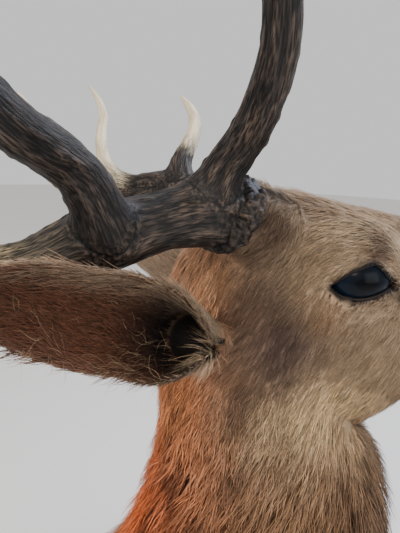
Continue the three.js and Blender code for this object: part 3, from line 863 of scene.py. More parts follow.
skin_points = points_of(skin_mesh)
corner, owner = face_corners(skin_mesh)
of_part = np.zeros(len(skin_points))
of_part[corner] = owner
local, skin_hand = animal(skin_points), hand_of(skin_points)
ear_t, _, ear_in = on_ear(local, skin_hand)
is_ear = (of_part > 0.5) & (ear_t > 0.02) & (local[:, 2] < 40 + 0.6 * local[:, 0]) & (local[:, 1] < 0.0)
is_ear &= np.linalg.norm(local - PEDICLE["top"], axis=-1) > 40
skin_colour = mix(markings(local), ear_markings(ear_t, ear_in), is_ear * smooth_step(ear_t, 0.06, 0.2))
# Painted shade: the hide under the neck's long hair is darker, by up to 0.45.
skin_colour *= (1 - 0.45 * neckness(local))[:, None]
# Painted shade: the skin deep inside each ear's roll, near its root, is mixed to near black.
hollow = (1 - is_ear) * in_roll(local, skin_hand, 4.5)
hollow += is_ear * (ear_t < 0.17) * in_roll(local, skin_hand, 1.2)
write_field(skin_mesh, "coat_colour", mix(skin_colour, EAR_HOLLOW_SHADE, hollow))
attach(skin, "root")
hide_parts("head", "neck", "neck_base", "ear_right", "ear_left")
print("ear points:", int(is_ear.sum()))

# %% [markdown]
# The coat. Hair on a deer lies close: it points away from the nose, sweeps
# in an arc over the brow, falls down the cheek and hangs on the neck. Its
# way is written down at a few named places, and everywhere else it is their
# mean, each place counting by one over its distance squared.

# %% The lie and length of the hair
LIE = [  # place, and the way the hair points there, both (side, forward, up)
    ((0, 335, -60), (0.0, -1.0, 0.2)), ((0, 240, -22), (0.0, -1.0, 0.1)),  # bridge of the nose
    ((40, 260, -80), (0.0, -1.0, -0.25)), ((30, 300, -122), (0.1, -1.0, -0.35)),  # muzzle and lip
    ((0, 280, -140), (0.0, -1.0, -0.2)), ((0, 190, -172), (0.0, -1.0, -0.3)),  # chin and under the jaw
    ((0, 120, 4), (0.12, -1.0, 0.05)), ((0, 40, 14), (0.25, -1.0, 0.0)),  # forehead and crown
    ((58, 150, -30), (0.3, -0.55, 0.75)), ((66, 128, -18), (0.3, -0.75, 0.5)),  # front of the brow's arc
    ((68, 100, -8), (0.3, -1.0, -0.05)), ((76, 66, -24), (0.2, -0.75, -0.65)),  # its top and rear
    ((80, 56, -56), (0.1, -0.42, -0.9)), ((80, 96, -78), (0.1, -0.55, -0.8)),  # behind and under the eye
    ((68, 140, -80), (0.1, -0.8, -0.5)), ((58, 180, -110), (0.0, -0.85, -0.5)),  # tear pit and cheek
    ((80, 60, -110), (0.0, -0.5, -0.85)), ((78, 90, -150), (-0.1, -0.38, -0.9)),  # cheek
    ((60, 110, -190), (-0.2, -0.3, -0.95)), ((30, 140, -212), (-0.2, -0.15, -1.0)),  # jaw and throat's corner
    ((72, 34, -40), (0.35, -0.55, -0.75)), ((78, 20, -80), (0.3, -0.5, -0.8)),  # below the burr, temple
    ((72, 10, -150), (0.0, -0.25, -1.0)), ((40, -40, -60), (0.3, -0.5, -0.8)),  # below the ear, behind burr
    ((0, -60, -60), (0.0, -0.6, -0.9)), ((0, -74, -160), (0.0, -0.1, -1.0)),  # nape
    ((90, 40, -300), (0.0, -0.22, -1.0)), ((0, 180, -300), (0.0, 0.25, -1.0)),  # neck's side and front
    ((60, 160, -330), (0.1, 0.12, -1.0)), ((0, 180, -430), (0.0, 0.0, -1.0)),
    ((110, 0, -430), (0.0, -0.35, -1.0)), ((0, -100, -360), (0.0, -0.3, -1.0)),
    ((110, -160, -540), (0.0, -0.8, -0.6)), ((0, -200, -490), (0.0, -0.95, -0.4)),  # shoulder
    ((0, 20, -620), (0.0, -0.75, -0.7)), ((100, -330, -650), (0.0, -1.0, -0.2)),
    ((0, -200, -710), (0.0, -1.0, -0.3)),
]
LENGTHS = [  # middle, reach, length in mm
    ((20, 240, -90), (60, 80, 70), 8.0), ((16, 330, -90), (40, 36, 50), 4.0),  # muzzle, nose
    ((0, 100, 8), (36, 70, 24), 26.0), ((0, 20, 12), (44, 36, 24), 30.0),  # forehead, crown
    ((66, 104, -12), (30, 34, 12), 19.0), ((78, 96, -46), (30, 28, 22), 8.0),  # brow, round the eye
    ((50, 20, 6), (24, 24, 18), 13.0), ((50, 120, -200), (50, 60, 26), 22.0),  # burr's collar, jaw
    ((0, -50, -120), (60, 36, 80), 32.0),  # nape
    ((72, 80, -166), (34, 60, 30), 24.0),  # lower cheek
]
SHORT, LONG = 15.0, 50.0  # mm, on the face and on the neck


def lie_of(points, hand):
    """Mean way of the hair, its places weighted by 1 / (distance^2 + 20^2)^1.5, in the frame."""
    total = np.zeros(points.shape)
    for place_at, way in LIE:
        total += unit(np.array(way)) * ((apart(points, place_at, 1.0) + 20.0 ** 2) ** -1.5)[:, None]
    total[:, 0] *= hand
    total[:, 1] *= -1
    return unit(total)


def length_of(points):
    """Hair length in mm: short on the head, long on the neck, and each named patch by e^-(d^2)."""
    length = SHORT + (LONG - SHORT) * neckness(points)
    for middle, reach, wanted in LENGTHS:
        length += np.exp(-apart(points, middle, reach)) * (wanted - length)
    return length


def spacing_of(length):
    """Distance between locks in mm: long hair stands in fewer, fuller locks."""
    return np.interp(length, (4, 15, 30, 50), (1.8, 2.65, 5.2, 8.7))


print("hair on cheek, brow and neck, mm:",
      length_of(np.array([[78.0, 36, -116], [66, 104, -12], [90, 40, -300]])).round(1))

# %% [markdown]
# Locks are planted on the skin's own triangles. Their number follows from
# the wanted spacing, and stepping evenly through the running total of the
# triangles' shares spreads them evenly. Each lock is a few thin blades whose
# tips draw together, and each blade is a closed three-sided spike.

# %% Plant locks
def tables(mesh):
    """The mesh's triangles as arrays: corner points, corner normals, corner unwrap, area, and whether
    they lie on an ear or in its hollow root."""
    mesh.calc_loop_triangles()
    vertex = read(mesh.loop_triangles, "vertices", 3, np.int32)
    loop = read(mesh.loop_triangles, "loops", 3, np.int32)
    normals = read(mesh.vertex_normals, "vector", 3).astype(float)
    uv = read(mesh.uv_layers["unwrap"].uv, "vector", 2).astype(float)
    corners = points_of(mesh)[vertex]
    area = np.linalg.norm(np.cross(corners[:, 1] - corners[:, 0], corners[:, 2] - corners[:, 0]), axis=-1) / 2
    return {"corners": corners, "normals": normals[vertex], "uv": uv[loop], "area": area,
            "ear": is_ear[vertex].all(axis=1), "hollow": (hollow * (1 - is_ear))[vertex].any(axis=1)}


def locks_per_area(chosen, spacing):
    """Locks per square metre: one for each square of the spacing in mm on the chosen triangles."""
    density = np.where(chosen, 1 / (spacing * MM) ** 2, 0)
    return density


def plant(table, per_area):
    """Roots on triangles in proportion to area times per_area: an even walk through the running
    total, then a random place inside each triangle. Gives points, normals, unwrap, hand and the
    points in the animal's own measures."""
    run = np.cumsum(table["area"] * per_area)
    count = int(run[-1])
    walk = (np.arange(count) + rng.random(count)) * run[-1] / count
    chosen = np.minimum(np.searchsorted(run, walk), len(run) - 1)
    share = rng.random((count, 2))
    share = np.where(share.sum(axis=1, keepdims=True) > 1, 1 - share, share)
    weights = np.stack([1 - share.sum(axis=1), share[:, 0], share[:, 1]], axis=-1)[..., None]
    at, normals, uv = ((table[key][chosen] * weights).sum(axis=1) for key in ("corners", "normals", "uv"))
    return at, normals, uv, hand_of(at), animal(at)


def swayed(ways, normals, sway):
    """The ways turned to one side by a share, along the surface."""
    return unit(ways + np.cross(unit(normals), ways) * sway[:, None])


def blades(roots, normals, ways, length, width, lift, blades_each, reach, pinch, rings, curl=0.05, sink=0.6):
    """Points of every blade, (locks, blades, rings * 3 + 1, 3). The middle line of a blade runs
    length * t along the lie and rises by length * sin(lift) * (1.5 t - 0.5 t^3); its root lies within
    reach of the lock's, and that offset shrinks by pinch towards the tip. Its section is a low
    triangle whose width falls as 1 - t^2.2."""
    count = len(roots)
    normals = unit(normals)
    ways = unit(ways - (ways * normals).sum(axis=-1, keepdims=True) * normals)
    across = np.cross(ways, normals)
    t = np.arange(rings + 1) / rings
    spot = rng.normal(0, 0.5, (count, blades_each, 2)).clip(-1, 1) * reach[:, None, None]
    size = length[:, None] * rng.uniform(0.72, 1.1, (count, blades_each))
    tilt = np.sin(np.radians(lift))[:, None] * rng.uniform(0.55, 1.35, (count, blades_each))
    veer = rng.normal(0, 0.09, (count, blades_each))
    phase = rng.uniform(0, 2 * np.pi, (count, blades_each))
    bend = curl * size[..., None] * (np.sin(phase[..., None] + 3.0 * t) - np.sin(phase[..., None]))
    forward_part = size[..., None] * t + spot[..., 0, None] * (1 - pinch * t)
    side_part = spot[..., 1, None] * (1 - pinch * t) + veer[..., None] * size[..., None] * t + bend
    rise = (size * tilt)[..., None] * (1.5 * t - 0.5 * t ** 3) - sink * (1 - t)
    middle = (roots[:, None, None] / MM + forward_part[..., None] * ways[:, None, None]
              + side_part[..., None] * across[:, None, None] + rise[..., None] * normals[:, None, None])
    wide = width[:, None] * rng.uniform(0.75, 1.25, (count, blades_each))
    taper = (1 - t ** 2.2)[None, None]
    half = (wide[..., None] / 2 * taper)[..., None] * across[:, None, None]
    high = (wide[..., None] * 0.32 * taper)[..., None] * normals[:, None, None]
    body = np.stack([middle - half, middle + half, middle + high], axis=3)[:, :, :-1]
    points = np.concatenate([body.reshape(count, blades_each, rings * 3, 3), middle[:, :, -1:]], axis=2)
    return points * MM


def blade_shares(rings):
    """The share of its length at which each point of a blade stands."""
    return np.append(np.repeat(np.arange(rings) / rings, 3), 1.0)


PATCH = 0.003  # of the unwrap, taken by one lock


def coat_piece(name, points, colour, uv, rings):
    """One mesh of blades with their colour and their place on the unwrap: a lock's blades share a
    patch at its root. Gives the number of triangles."""
    count, each, size, _ = points.shape
    sides = ((0, 1), (1, 2), (2, 0))
    quads = [(3 * r + a, 3 * r + b, 3 * r + 3 + b, 3 * r + 3 + a) for r in range(rings - 1) for a, b in sides]
    top = 3 * (rings - 1)
    triangles = [(0, 2, 1)] + [(top + a, top + b, top + 3) for a, b in sides]
    start = (np.arange(count * each) * size)[:, None, None]
    faces = [(np.array(f)[None] + start).reshape(-1, len(f[0])) for f in (quads, triangles) if f]
    across = np.append(np.tile([-0.5, 0.5, 0.0], rings), 0.0)
    patch = PATCH * np.stack([across, blade_shares(rings) - 0.5], axis=-1)
    where = np.clip(uv[:, None, None] + patch[None, None], 0.0005, 0.9995)
    where = np.broadcast_to(where, (count, each, size, 2)).reshape(-1, 2)
    corners = np.concatenate([where[f.ravel()] for f in faces])
    colour = np.broadcast_to(colour, (count, each, size, 3)).reshape(-1, 3)
    piece = mesh_piece(name, points.reshape(-1, 3), faces, [hair], uv=corners, uv_name="OFBake",
                       values={"coat_colour": colour})
    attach(piece, "root")
    return count * each * (len(quads) * 2 + len(triangles))


def strand_colours(colour, count, each, rings, dark_root, pale_tip):
    """Each blade's colour from its lock's: a random brightness, dark at the root and pale at the tip.
    The dark root is partly the hair's own banding, partly painted shade deep in the coat. One in seven
    is nearly half as bright, painted shade of the gaps between locks, and all are a little warmer or colder."""
    shade = dark_root + (pale_tip - dark_root) * blade_shares(rings) ** 0.8
    tone = rng.uniform(0.68, 1.32, (count, each, 1, 1)) * shade[None, None, :, None]
    tone = tone * np.where(rng.random((count, each, 1, 1)) < 0.14, 0.55, 1.0)
    warm = 1 + rng.normal(0, 0.04, (count, each, 1, 1)) * np.array([1.0, 0.0, -1.0])
    return colour[:, None, None] * tone * warm


def grow(name, roots, normals, uv, ways, length, width, lift, each, reach, pinch, rings, colour, tones,
         curl=0.05, sink=0.6):
    """A piece of coat: the blades, their colours and their mesh. Numbers stand for all locks alike."""
    length, width, lift, reach = (np.broadcast_to(v, len(roots)) for v in (length, width, lift, reach))
    shape = blades(roots, normals, ways, length, width, lift, each, reach, pinch, rings, curl, sink)
    colour = np.broadcast_to(colour, (len(roots), 3))
    return coat_piece(name, shape, strand_colours(colour, len(roots), each, rings, *tones), uv, rings)


PIECE_LIMIT = 190_000  # triangles
skin_table = tables(skin_mesh)
middle_of = animal(skin_table["corners"].mean(axis=1))
bare = (lid_gap(*side_view(middle_of)) < 3.0) & round_eye(middle_of, 36, 26, 50)
bare |= (middle_of[:, 1] > 331) & (middle_of[:, 2] > -99)  # nose pad
bare |= middle_of[:, 1] < BOARD_FACE + 3  # against the board
bare |= (np.linalg.norm(middle_of - PEDICLE["top"] - np.array([6, -8, 2]), axis=-1) < 25) & ~skin_table["ear"]
bare |= (off_path(middle_of, MOUTH) < 2.0) | skin_table["hollow"]
density = locks_per_area(~(bare | skin_table["ear"]), spacing_of(length_of(middle_of)))
roots, root_normals, root_uv, root_hand, root_local = plant(skin_table, density)
print(len(roots), "locks on head and neck")

# %% [markdown]
# The locks are combed along the lie, with a sway from broad and fine noise,
# and cut: shorter where the neck meets the board. Short hair becomes small
# locks of a few simple blades, long hair fewer locks of longer ones.

# %% Comb and cut the coat
on_neck = neckness(root_local)
sway = 0.22 * noise(roots / MM, 34, 11) + 0.14 * noise(roots / MM, 13, 12) + rng.normal(0, 0.06, len(roots))
ways = swayed(lie_of(root_local, root_hand), root_normals, sway)
lock_length = length_of(root_local)
lifts = (9 + 6 * on_neck + (4 + 3 * on_neck) * noise(roots / MM, 16, 13)) * np.clip(lock_length / 12, 0.4, 1)
for middle, reach, more in (((72, 22, -32), (26, 36, 18), 11), ((62, 144, -64), (16, 20, 14), 9)):
    lifts += more * np.exp(-apart(root_local, middle, reach))  # by the burr, over the tear pit
to_board = root_local[:, 1] - BOARD_FACE
lock_length = np.where(to_board < 70, np.minimum(lock_length, np.maximum(to_board, 0) * 0.9 + 7), lock_length)
lock_length = lock_length * (1 + 0.22 * on_neck * noise(roots / MM, 19, 14))
lock_colour = markings(root_local) * (1 + rng.uniform(-0.3, 0.3, len(roots)) * (1 + 0.4 * on_neck))[:, None]
scurf = 0.8 * np.exp(-apart(root_local, (44, 34, 10), (20, 18, 14))) * (rng.random(len(roots)) < 0.33)
lock_colour = mix(lock_colour, hex_colour("#a29d96"), scurf)
lock_width = np.interp(lock_length, (4, 15, 30, 50), (0.45, 0.62, 0.9, 1.15))
KINDS = [  # name, rings and number of the blades, how far they draw together, least and most length
    ("down", 1, 4, 0.5, 0, 16.5), ("short", 2, 4, 0.5, 16.5, 28), ("long", 3, 6, 0.72, 28, 99),
]
total_triangles = 0
for kind, rings, each, pinch, low, high in KINDS:
    # The long locks' roots are darker still: painted shade deep in the long coat.
    tones = (0.4 - 0.15 * (rings == 3), 1.52)
    for hand_name, hand in HANDS.items():
        mine = np.flatnonzero((lock_length > low) & (lock_length <= high) & (root_hand == hand))
        mine = mine[np.argsort(root_uv[mine, 1])]
        pieces_needed = int(np.ceil(len(mine) * each * (6 * (rings - 1) + 4) / PIECE_LIMIT))
        for number, g in enumerate(np.array_split(mine, pieces_needed)):
            total_triangles += grow(
                f"coat_{kind}_{hand_name}_{number + 1}", roots[g], root_normals[g], root_uv[g], ways[g],
                lock_length[g], lock_width[g], lifts[g], each, 0.5 * spacing_of(lock_length[g]), pinch, rings,
                lock_colour[g], tones, curl=0.09)
print("coat of head and neck:", total_triangles, "triangles")

# %% [markdown]
# The ears have short velvet outside that points to the tip, a fringe of
# longer tufts on the lower edge, combed hair inside, and pale curled wisps
# that cross the hollow. The upper edge stays close and smooth.

# %% Hair of the ears
def ear_edge(v):
    """1 on the ear's two edges and 0 between them."""
    return smooth_step(np.abs(v), 0.7, 0.97)


mid_hand = hand_of(skin_table["corners"].mean(axis=1))
mid_t, mid_v, mid_in = on_ear(middle_of, mid_hand)
in_hollow = (mid_in > 0.5) & (mid_t < 0.16) & (np.abs(mid_v) < 0.6)
ear_spacing = np.where(mid_in > 0.5, 3.7, 3.1) * (1 - 0.18 * ear_edge(mid_v))
density = locks_per_area(skin_table["ear"] & ~in_hollow, ear_spacing)
all_roots = plant(skin_table, density)
root_hand = all_roots[3]
total_triangles = 0
tufts = smooth_step(noise(all_roots[0] / MM, 15, 31), 0.05, 0.5)
for hand_name, hand in HANDS.items():
    mine = root_hand == hand
    roots, normals, uv, _, root_local = (values[mine] for values in all_roots)
    t, v, inside = on_ear(root_local, root_hand[mine])
    upper = smooth_step(-v, 0.05, 0.9) * (1 - 0.5 * smooth_step(t, 0.55, 0.95))
    fringe = smooth_step(v, 0.72, 0.97) * (0.1 + 0.9 * tufts[mine])
    colour = mix(ear_markings(t, inside), EAR_PALE * 0.9, 0.8 * upper * inside)
    colour = mix(colour, hex_colour("#b7a287"), 0.85 * fringe)
    axis, _, wide = (way * np.array([hand, -1, 1]) for way in ear_frame(hand_name))
    inner = inside > 0.5
    below = smooth_step(v, -0.75, 0.15)
    top = smooth_step(-v, 0.6, 0.95)
    lean = 0.1 * np.clip(v, -1, 1) + 0.75 * fringe + inner * (0.25 - 0.5 * below * (1 - fringe))
    sway = 0.3 * noise(roots / MM, 22, 33) * below + rng.normal(0, 0.06 + 0.25 * fringe, len(roots))
    ways = swayed(unit(axis + wide * lean[:, None]), normals, sway)
    length = (10.0 + 12.0 * inner + 8.0 * upper + 12.0 * fringe) * (1 - 0.4 * t)
    length = length * (1 - 0.35 * top * (1 - inner))
    lift = 4.0 + 4.0 * inner * (1 - ear_edge(v)) + 12.0 * fringe - 3.0 * top
    total_triangles += grow(f"coat_ear_{hand_name}", roots, normals, uv, ways, length, 0.5, lift, 4, 1.6,
                            0.3, 2, colour, (0.8, 1.3), curl=0.1, sink=0.3)
    low_side = smooth_step(v, -0.2, 0.7) + 0.3 * (t < 0.2)
    chance = inner * (0.03 + 0.34 * low_side * smooth_step(noise(roots / MM, 17, 35), 0.0, 0.5))
    few = rng.random(len(roots)) < chance
    count = int(few.sum())
    spin = rng.uniform(-1.2, 1.2, (count, 1))
    ways = unit(axis * (1 - 0.4 * np.abs(spin)) + wide * spin)
    total_triangles += grow(f"coat_wisps_{hand_name}", roots[few], normals[few], uv[few], ways,
                            rng.uniform(16, 30, count), 0.28, rng.uniform(6, 20, count), 2, 1.5, 0.3, 7,
                            hex_colour("#b39a7c"), (0.55, 1.05), curl=0.24, sink=0.3)
print("coat of the ears:", total_triangles, "triangles")

# %% [markdown]
# The eyes are glass: a taxidermist's eye is a blown shell painted behind, so
# it is nearly black, with a wide dark pupil, and takes a sharp highlight.
# Each is an ellipsoid on a grid of angles, its pole towards the side. The
# rim of the lids is bare dark skin, a thin cord laid along the almond.

# %% Eyes and rims
def eye_rings(rows=40, columns=64):
    """Ellipsoid: forward and up go round as cos and sin times the sine of the polar angle."""
    polar = np.linspace(0.03, np.pi - 0.03, rows)[:, None]
    a = turn(columns)
    direction = np.broadcast_arrays(np.cos(polar), np.sin(polar) * np.cos(a), np.sin(polar) * np.sin(a))
    return EYE["at"] + EYE["radii"] * np.stack(direction, axis=-1)


def eye_colours(points):
    """Black pupil, a long oval; nearly black iris; dark blue beyond."""
    a, b = side_view(points)
    pupil = smooth_step(np.hypot(a / 9.0, b / 5.0), 1.15, 0.85)
    iris = smooth_step(np.hypot(a / 14.0, b / 12.5), 1.1, 0.8)
    return mix(mix(hex_colour("#091420"), hex_colour("#0a0f16"), iris), hex_colour("#030408"), pupil)


eye_glass = painted("blown_glass_eye", "eye_colour", 0.2, 0.1)
lid_rim = painted("bare_lid_skin", "rim_colour", 0.5, 0.2, 0.8 * MM, bump=(0.15 * MM, 1.0))


def looped_tube(name, path, radii, facing, material, values):
    """A cord laid along a closed line: a circle of the given radius round every point, in the plane
    of the facing way and the way across the line."""
    columns = 12
    tangent = unit(np.roll(path, -1, axis=0) - np.roll(path, 1, axis=0))
    across = unit(np.cross(tangent, facing))
    outward_way = np.cross(across, tangent)
    circle = around(turn(columns), across[:, None], outward_way[:, None])
    rings = path[:, None] + radii[:, None, None] * circle
    quads = grid_faces(len(path) + 1, columns) % (len(path) * columns)
    colours = {key: np.broadcast_to(colour, (len(path) * columns, 3)) for key, colour in values.items()}
    return mesh_piece(name, rings.reshape(-1, 3), [quads], [material], values=colours)


def along_curve(a, lid):
    """The lid's height at a, its corners rounded off by averaging over 3 mm."""
    return np.mean([np.interp(a + w, *lid.T) for w in np.linspace(-1.5, 1.5, 7)], axis=0)


LID_POINTS = 90  # from corner to corner


def lid_line(count=LID_POINTS):
    """The almond on the ball: along the upper lid to the front corner and back along the lower one."""
    share = (1 - np.cos(np.linspace(0, np.pi, count))) / 2
    there = REAR + share * (FRONT - REAR)
    a = np.concatenate([there, there[-2:0:-1]])
    b = np.concatenate([along_curve(there, UPPER_LID), along_curve(there, LOWER_LID)[-2:0:-1]])
    return np.stack([ball_side(a, b, 0.9), EYE["at"][1] + a, EYE["at"][2] + b], axis=-1)


for name, hand in HANDS.items():
    ball = eye_rings()
    eye = closed_tube(f"glass_eye_{name}", place(ball, hand), [eye_glass],
                      values={"eye_colour": eye_colours(ball)})
    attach(eye, "root")
    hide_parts(f"eye_{name}")
    line = lid_line()
    swell = 0.9 + 0.5 * np.sin(np.linspace(0, 2 * np.pi, len(line))) ** 2
    rim = looped_tube(f"lid_rim_{name}", place(line, hand), swell * MM, np.array([hand, 0, 0.0]), lid_rim,
                      {"rim_colour": hex_colour("#17110f")})
    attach(rim, "root")

# %% [markdown]
# Lashes: stiff dark hairs along the lids that lean out and back, three in
# four of them on the upper lid, with pale ones among them at both corners.
# Whiskers: long dark hairs that stand out from the lips, the muzzle and the
# chin. A lash takes its place on the unwrap from the nearest triangle.

# %% Lashes and whiskers
LASHES = 110
for name, hand in HANDS.items():
    line = lid_line()
    share = rng.uniform(0.03, 0.97, LASHES)
    lower = rng.random(LASHES) < 0.25
    where = np.interp(share, (0, 1), (0, LID_POINTS - 1)) * np.where(lower, -1, 1) % len(line)
    lash_at = line[where.astype(int)] + np.array([1.0, 0, 0])
    way = unit(np.stack([np.full(LASHES, 0.9), (share - 0.75) * 1.6, np.where(lower, -0.35, 0.15)], axis=-1))
    own = np.flatnonzero(mid_hand == hand)
    near = own[[np.abs(middle_of[own] - at).sum(axis=1).argmin() for at in lash_at]]
    corner = np.abs(share - 0.5) > 0.38
    length = np.where(corner, 1.35, 1.0) * rng.uniform(6, 11, LASHES)
    shape = blades(place(lash_at, hand), np.tile([0, 0, 1.0], (LASHES, 1)), way * np.array([hand, -1, 1.0]),
                   length, np.full(LASHES, 0.4), np.where(lower, -25.0, 22.0), 1, np.zeros(LASHES), 0.0, 2,
                   sink=0.0)
    white = corner & (rng.random(LASHES) < 0.6)
    tint = np.where(white[:, None], hex_colour("#e2dacb"), hex_colour("#15100d"))
    coat_piece(f"coat_lashes_{name}", shape, strand_colours(tint, LASHES, 1, 2, 0.9, 1.1),
               skin_table["uv"][near].mean(axis=1), 2)
    muzzle = (middle_of[:, 1] > 262) & (middle_of[:, 1] < 326) & (middle_of[:, 2] < -74) & ~bare
    muzzle &= (mid_hand == hand) & (np.abs(middle_of[:, 0]) > 8)
    roots, normals, uv, _, _ = plant(skin_table, np.where(muzzle, 1 / (11 * MM) ** 2, 0))
    count = len(roots)
    grow(f"coat_whiskers_{name}", roots, normals, uv, np.tile([0.3 * hand, 0.9, -0.3], (count, 1)),
         rng.uniform(22, 45, count), 0.34, rng.uniform(38, 62, count), 1, 0.0, 0.0, 5,
         hex_colour("#1a1410"), (1.0, 1.6), sink=0.5)
print("eyes at", place(EYE["at"], -1).round(4).tolist(), "and its mirror")

# %% [markdown]
# An antler is bone that grew under skin: a round bar with long furrows where
# blood vessels lay, pearls of rough bone low down, and smooth pale tips worn
# by rubbing. Every bar is swept along a smooth curve, its radius changed by
# noise on its own length and girth, and the bars are then joined into one.

# %% Antler curves
ANTLERS = {
    "right": {
        "beam": [(60, 0, -2), (79, -34, 1), (98, -67, -4), (113, -104, -16), (122, -146, -32),
                 (144, -202, -30), (178, -260, 14), (212, -310, 86), (232, -336, 166), (232, -340, 240)],
        "brow": [(74, -24, 6), (78, -18, 22), (84, -9, 40), (94, 0, 55), (110, 6, 71), (128, 9, 89),
                 (144, 9, 108), (154, 4, 134), (156, -10, 162), (150, -28, 188)],
        "bez": [(117, -86, -4), (130, -91, 18), (142, -96, 33), (158, -102, 43), (180, -107, 51),
                (204, -112, 61), (224, -122, 80), (234, -136, 108), (232, -152, 138)],
        "trez": [(164, -236, -4), (184, -232, 20), (206, -224, 50), (220, -220, 86), (220, -228, 124)],
        "radii": {"brow": 13.4, "bez": 13.8, "trez": 13.0},
    },
    "left": {
        "beam": [(60, 0, -2), (80, -36, -6), (104, -74, -16), (124, -110, -24), (142, -148, -18),
                 (170, -200, 14), (202, -258, 60), (228, -312, 122), (238, -340, 196), (230, -342, 266)],
        "brow": [(80, -42, 0), (88, -46, 18), (96, -46, 31), (106, -41, 42), (116, -36, 53),
                 (128, -32, 66), (140, -33, 79), (150, -39, 91), (158, -49, 103)],
        "bez": [(84, -46, -2), (98, -66, 7), (110, -84, 6), (123, -102, 4), (138, -122, 10),
                (152, -138, 25), (166, -145, 44), (180, -147, 62), (192, -147, 80), (203, -154, 98),
                (212, -168, 117)],
        "trez": [(186, -232, 38), (204, -240, 52), (220, -248, 68), (230, -256, 86), (232, -266, 106)],
        "radii": {"brow": 10.8, "bez": 10.0, "trez": 13.0},
    },
}
CROWN = {  # steps from the end of the beam, and radius
    "crown_front": ([(0, 6, -12), (8, 30, 24), (8, 50, 62), (-4, 58, 100)], 12.0),
    "crown_middle": ([(0, 0, -14), (-4, 0, 30), (-14, 4, 80), (-28, 0, 130)], 13.0),
    "crown_inner": ([(0, -4, -14), (-22, -2, 16), (-50, 4, 46), (-68, 6, 86)], 11.5),
}
BEAM = {"base": 21.0, "middle": 18.0, "end": 16.0}
BURR_MIDDLE = np.array([60.0, 0, -2])
BURR = {"radius": 33.0, "low": -4.0, "high": 14.0, "rise": 0.45}


def curve(points, spacing):
    """A centripetal Catmull-Rom curve through the points, cut into equal steps: each stretch is the
    cubic whose slopes come from chords divided by the square roots of their lengths."""
    p = np.array(points, dtype=float)
    p = np.concatenate([[2 * p[0] - p[1]], p, [2 * p[-1] - p[-2]]])
    gap = np.sqrt(np.linalg.norm(np.diff(p, axis=0), axis=-1))[:, None]
    x0, x1, x2, x3 = p[:-3], p[1:-2], p[2:-1], p[3:]
    d0, d1, d2 = gap[:-2], gap[1:-1], gap[2:]
    m1 = ((x1 - x0) / d0 - (x2 - x0) / (d0 + d1) + (x2 - x1) / d1) * d1
    m2 = ((x2 - x1) / d1 - (x3 - x1) / (d1 + d2) + (x3 - x2) / d2) * d1
    t = np.linspace(0, 1, 60, endpoint=False)[None, :, None]
    fine = (x1[:, None] * (2 * t ** 3 - 3 * t ** 2 + 1) + m1[:, None] * (t ** 3 - 2 * t ** 2 + t)
            + x2[:, None] * (3 * t ** 2 - 2 * t ** 3) + m2[:, None] * (t ** 3 - t ** 2))
    fine = np.concatenate([fine.reshape(-1, 3), p[-2:-1]])
    run = np.concatenate([[0], np.cumsum(np.linalg.norm(np.diff(fine, axis=0), axis=-1))])
    even = np.linspace(0, run[-1], int(run[-1] / spacing) + 2)
    return np.stack([np.interp(even, run, fine[:, k]) for k in range(3)], axis=-1), run[-1]


def turning_ways(line):
    """Two ways across the line at every point, carried along it without twisting: each is the last
    one with its part along the new tangent taken out."""
    tangent = unit(np.gradient(line, axis=0))
    one = np.empty_like(line)
    one[0] = unit(np.cross(tangent[0], [0.3, 0.1, 1.0]))
    for i in range(1, len(line)):
        one[i] = unit(one[i - 1] - (one[i - 1] @ tangent[i]) * tangent[i])
    return one, np.cross(tangent, one)


ANTLER_DARK, ANTLER_BROWN = hex_colour("#08080a"), hex_colour("#372e28")
ANTLER_OLIVE, ANTLER_IVORY = hex_colour("#7f7157"), hex_colour("#dccfb2")
BURR_BROWN = hex_colour("#352c25")
FURROW = 4.7  # mm of girth to each furrow


def antler_bar(name, points, radius_at, hand, seed, furrow, pearl, ivory, columns=52, spacing=2.2, olive=0.0):
    """A bar whose radius is radius_at(share) plus furrows and pearls. Furrows are the absolute value
    of noise drawn out along the bar, so they have sharp beds and round backs; pearls are the highest
    parts of a noise of cells half a furrow wide and 9 mm long. Both fade towards the tip. Far from
    the burr the bone is paler by the share olive. Gives the bar, and its middle line with its radius."""
    line, length = curve(points, spacing)
    one, two = turning_ways(line)
    t = np.linspace(0, 1, len(line))[:, None]
    a = turn(columns)
    base = radius_at(t)
    way = t * length
    cells = int(round(2 * np.pi * float(base[len(base) // 3, 0]) / FURROW))
    girth = (a + 0.5 * noise_at(way / 90, 0, 0, seed + 9)) / (2 * np.pi) * cells
    long_noise = noise_at(girth, way / 42, 0, seed, cells)
    fine_noise = noise_at(2 * girth, way / 24, 0, seed + 1, 2 * cells)
    pearls = noise_at(2 * girth, way / 9.0, 0, seed + 2, 2 * cells)
    fade = 1 - smooth_step(t, ivory - 0.12, ivory + 0.22)
    ridge = 2.1 * np.abs(long_noise) + 0.8 * np.abs(fine_noise) - 0.75
    bead = np.maximum(pearls, 0) ** 1.5
    radius = base + fade * (furrow * ridge + pearl * bead) * np.minimum(1, base / 12)
    rings = line[:, None] + radius[..., None] * around(a, one[:, None], two[:, None])
    crest = np.clip(0.5 * ridge + 0.45 + 0.5 * bead * min(1, pearl), 0, 1)
    colour = mix(ANTLER_DARK, ANTLER_BROWN, crest ** 1.7)
    away = smooth_step(np.linalg.norm(rings - BURR_MIDDLE, axis=-1), 112, 190)
    colour = mix(colour, ANTLER_OLIVE * (0.22 + 0.78 * crest ** 1.3)[..., None], olive * away)
    tip = smooth_step(t + 0.05 * noise(rings, (40, 60, 40), seed + 4), ivory - 0.16, ivory + 0.16)
    colour = mix(colour, ANTLER_IVORY * (0.62 + 0.38 * crest)[..., None], tip)
    grain = np.broadcast_arrays(radius * np.cos(a), radius * np.sin(a), way * 0.11 + 100.0 * seed)
    values = {"antler_colour": colour, "grain_place": np.stack(grain, axis=-1), "tip_share": tip}
    bar = closed_tube(name, place(rings, hand), [antler_bone, antler_bone_tine], values=values,
                      index=0 if name.endswith("beam") else 1, tip_lift=float(radius[-1].mean()) * MM * 0.6)
    return bar, np.column_stack([place(line, hand) / MM, base[:, 0]])


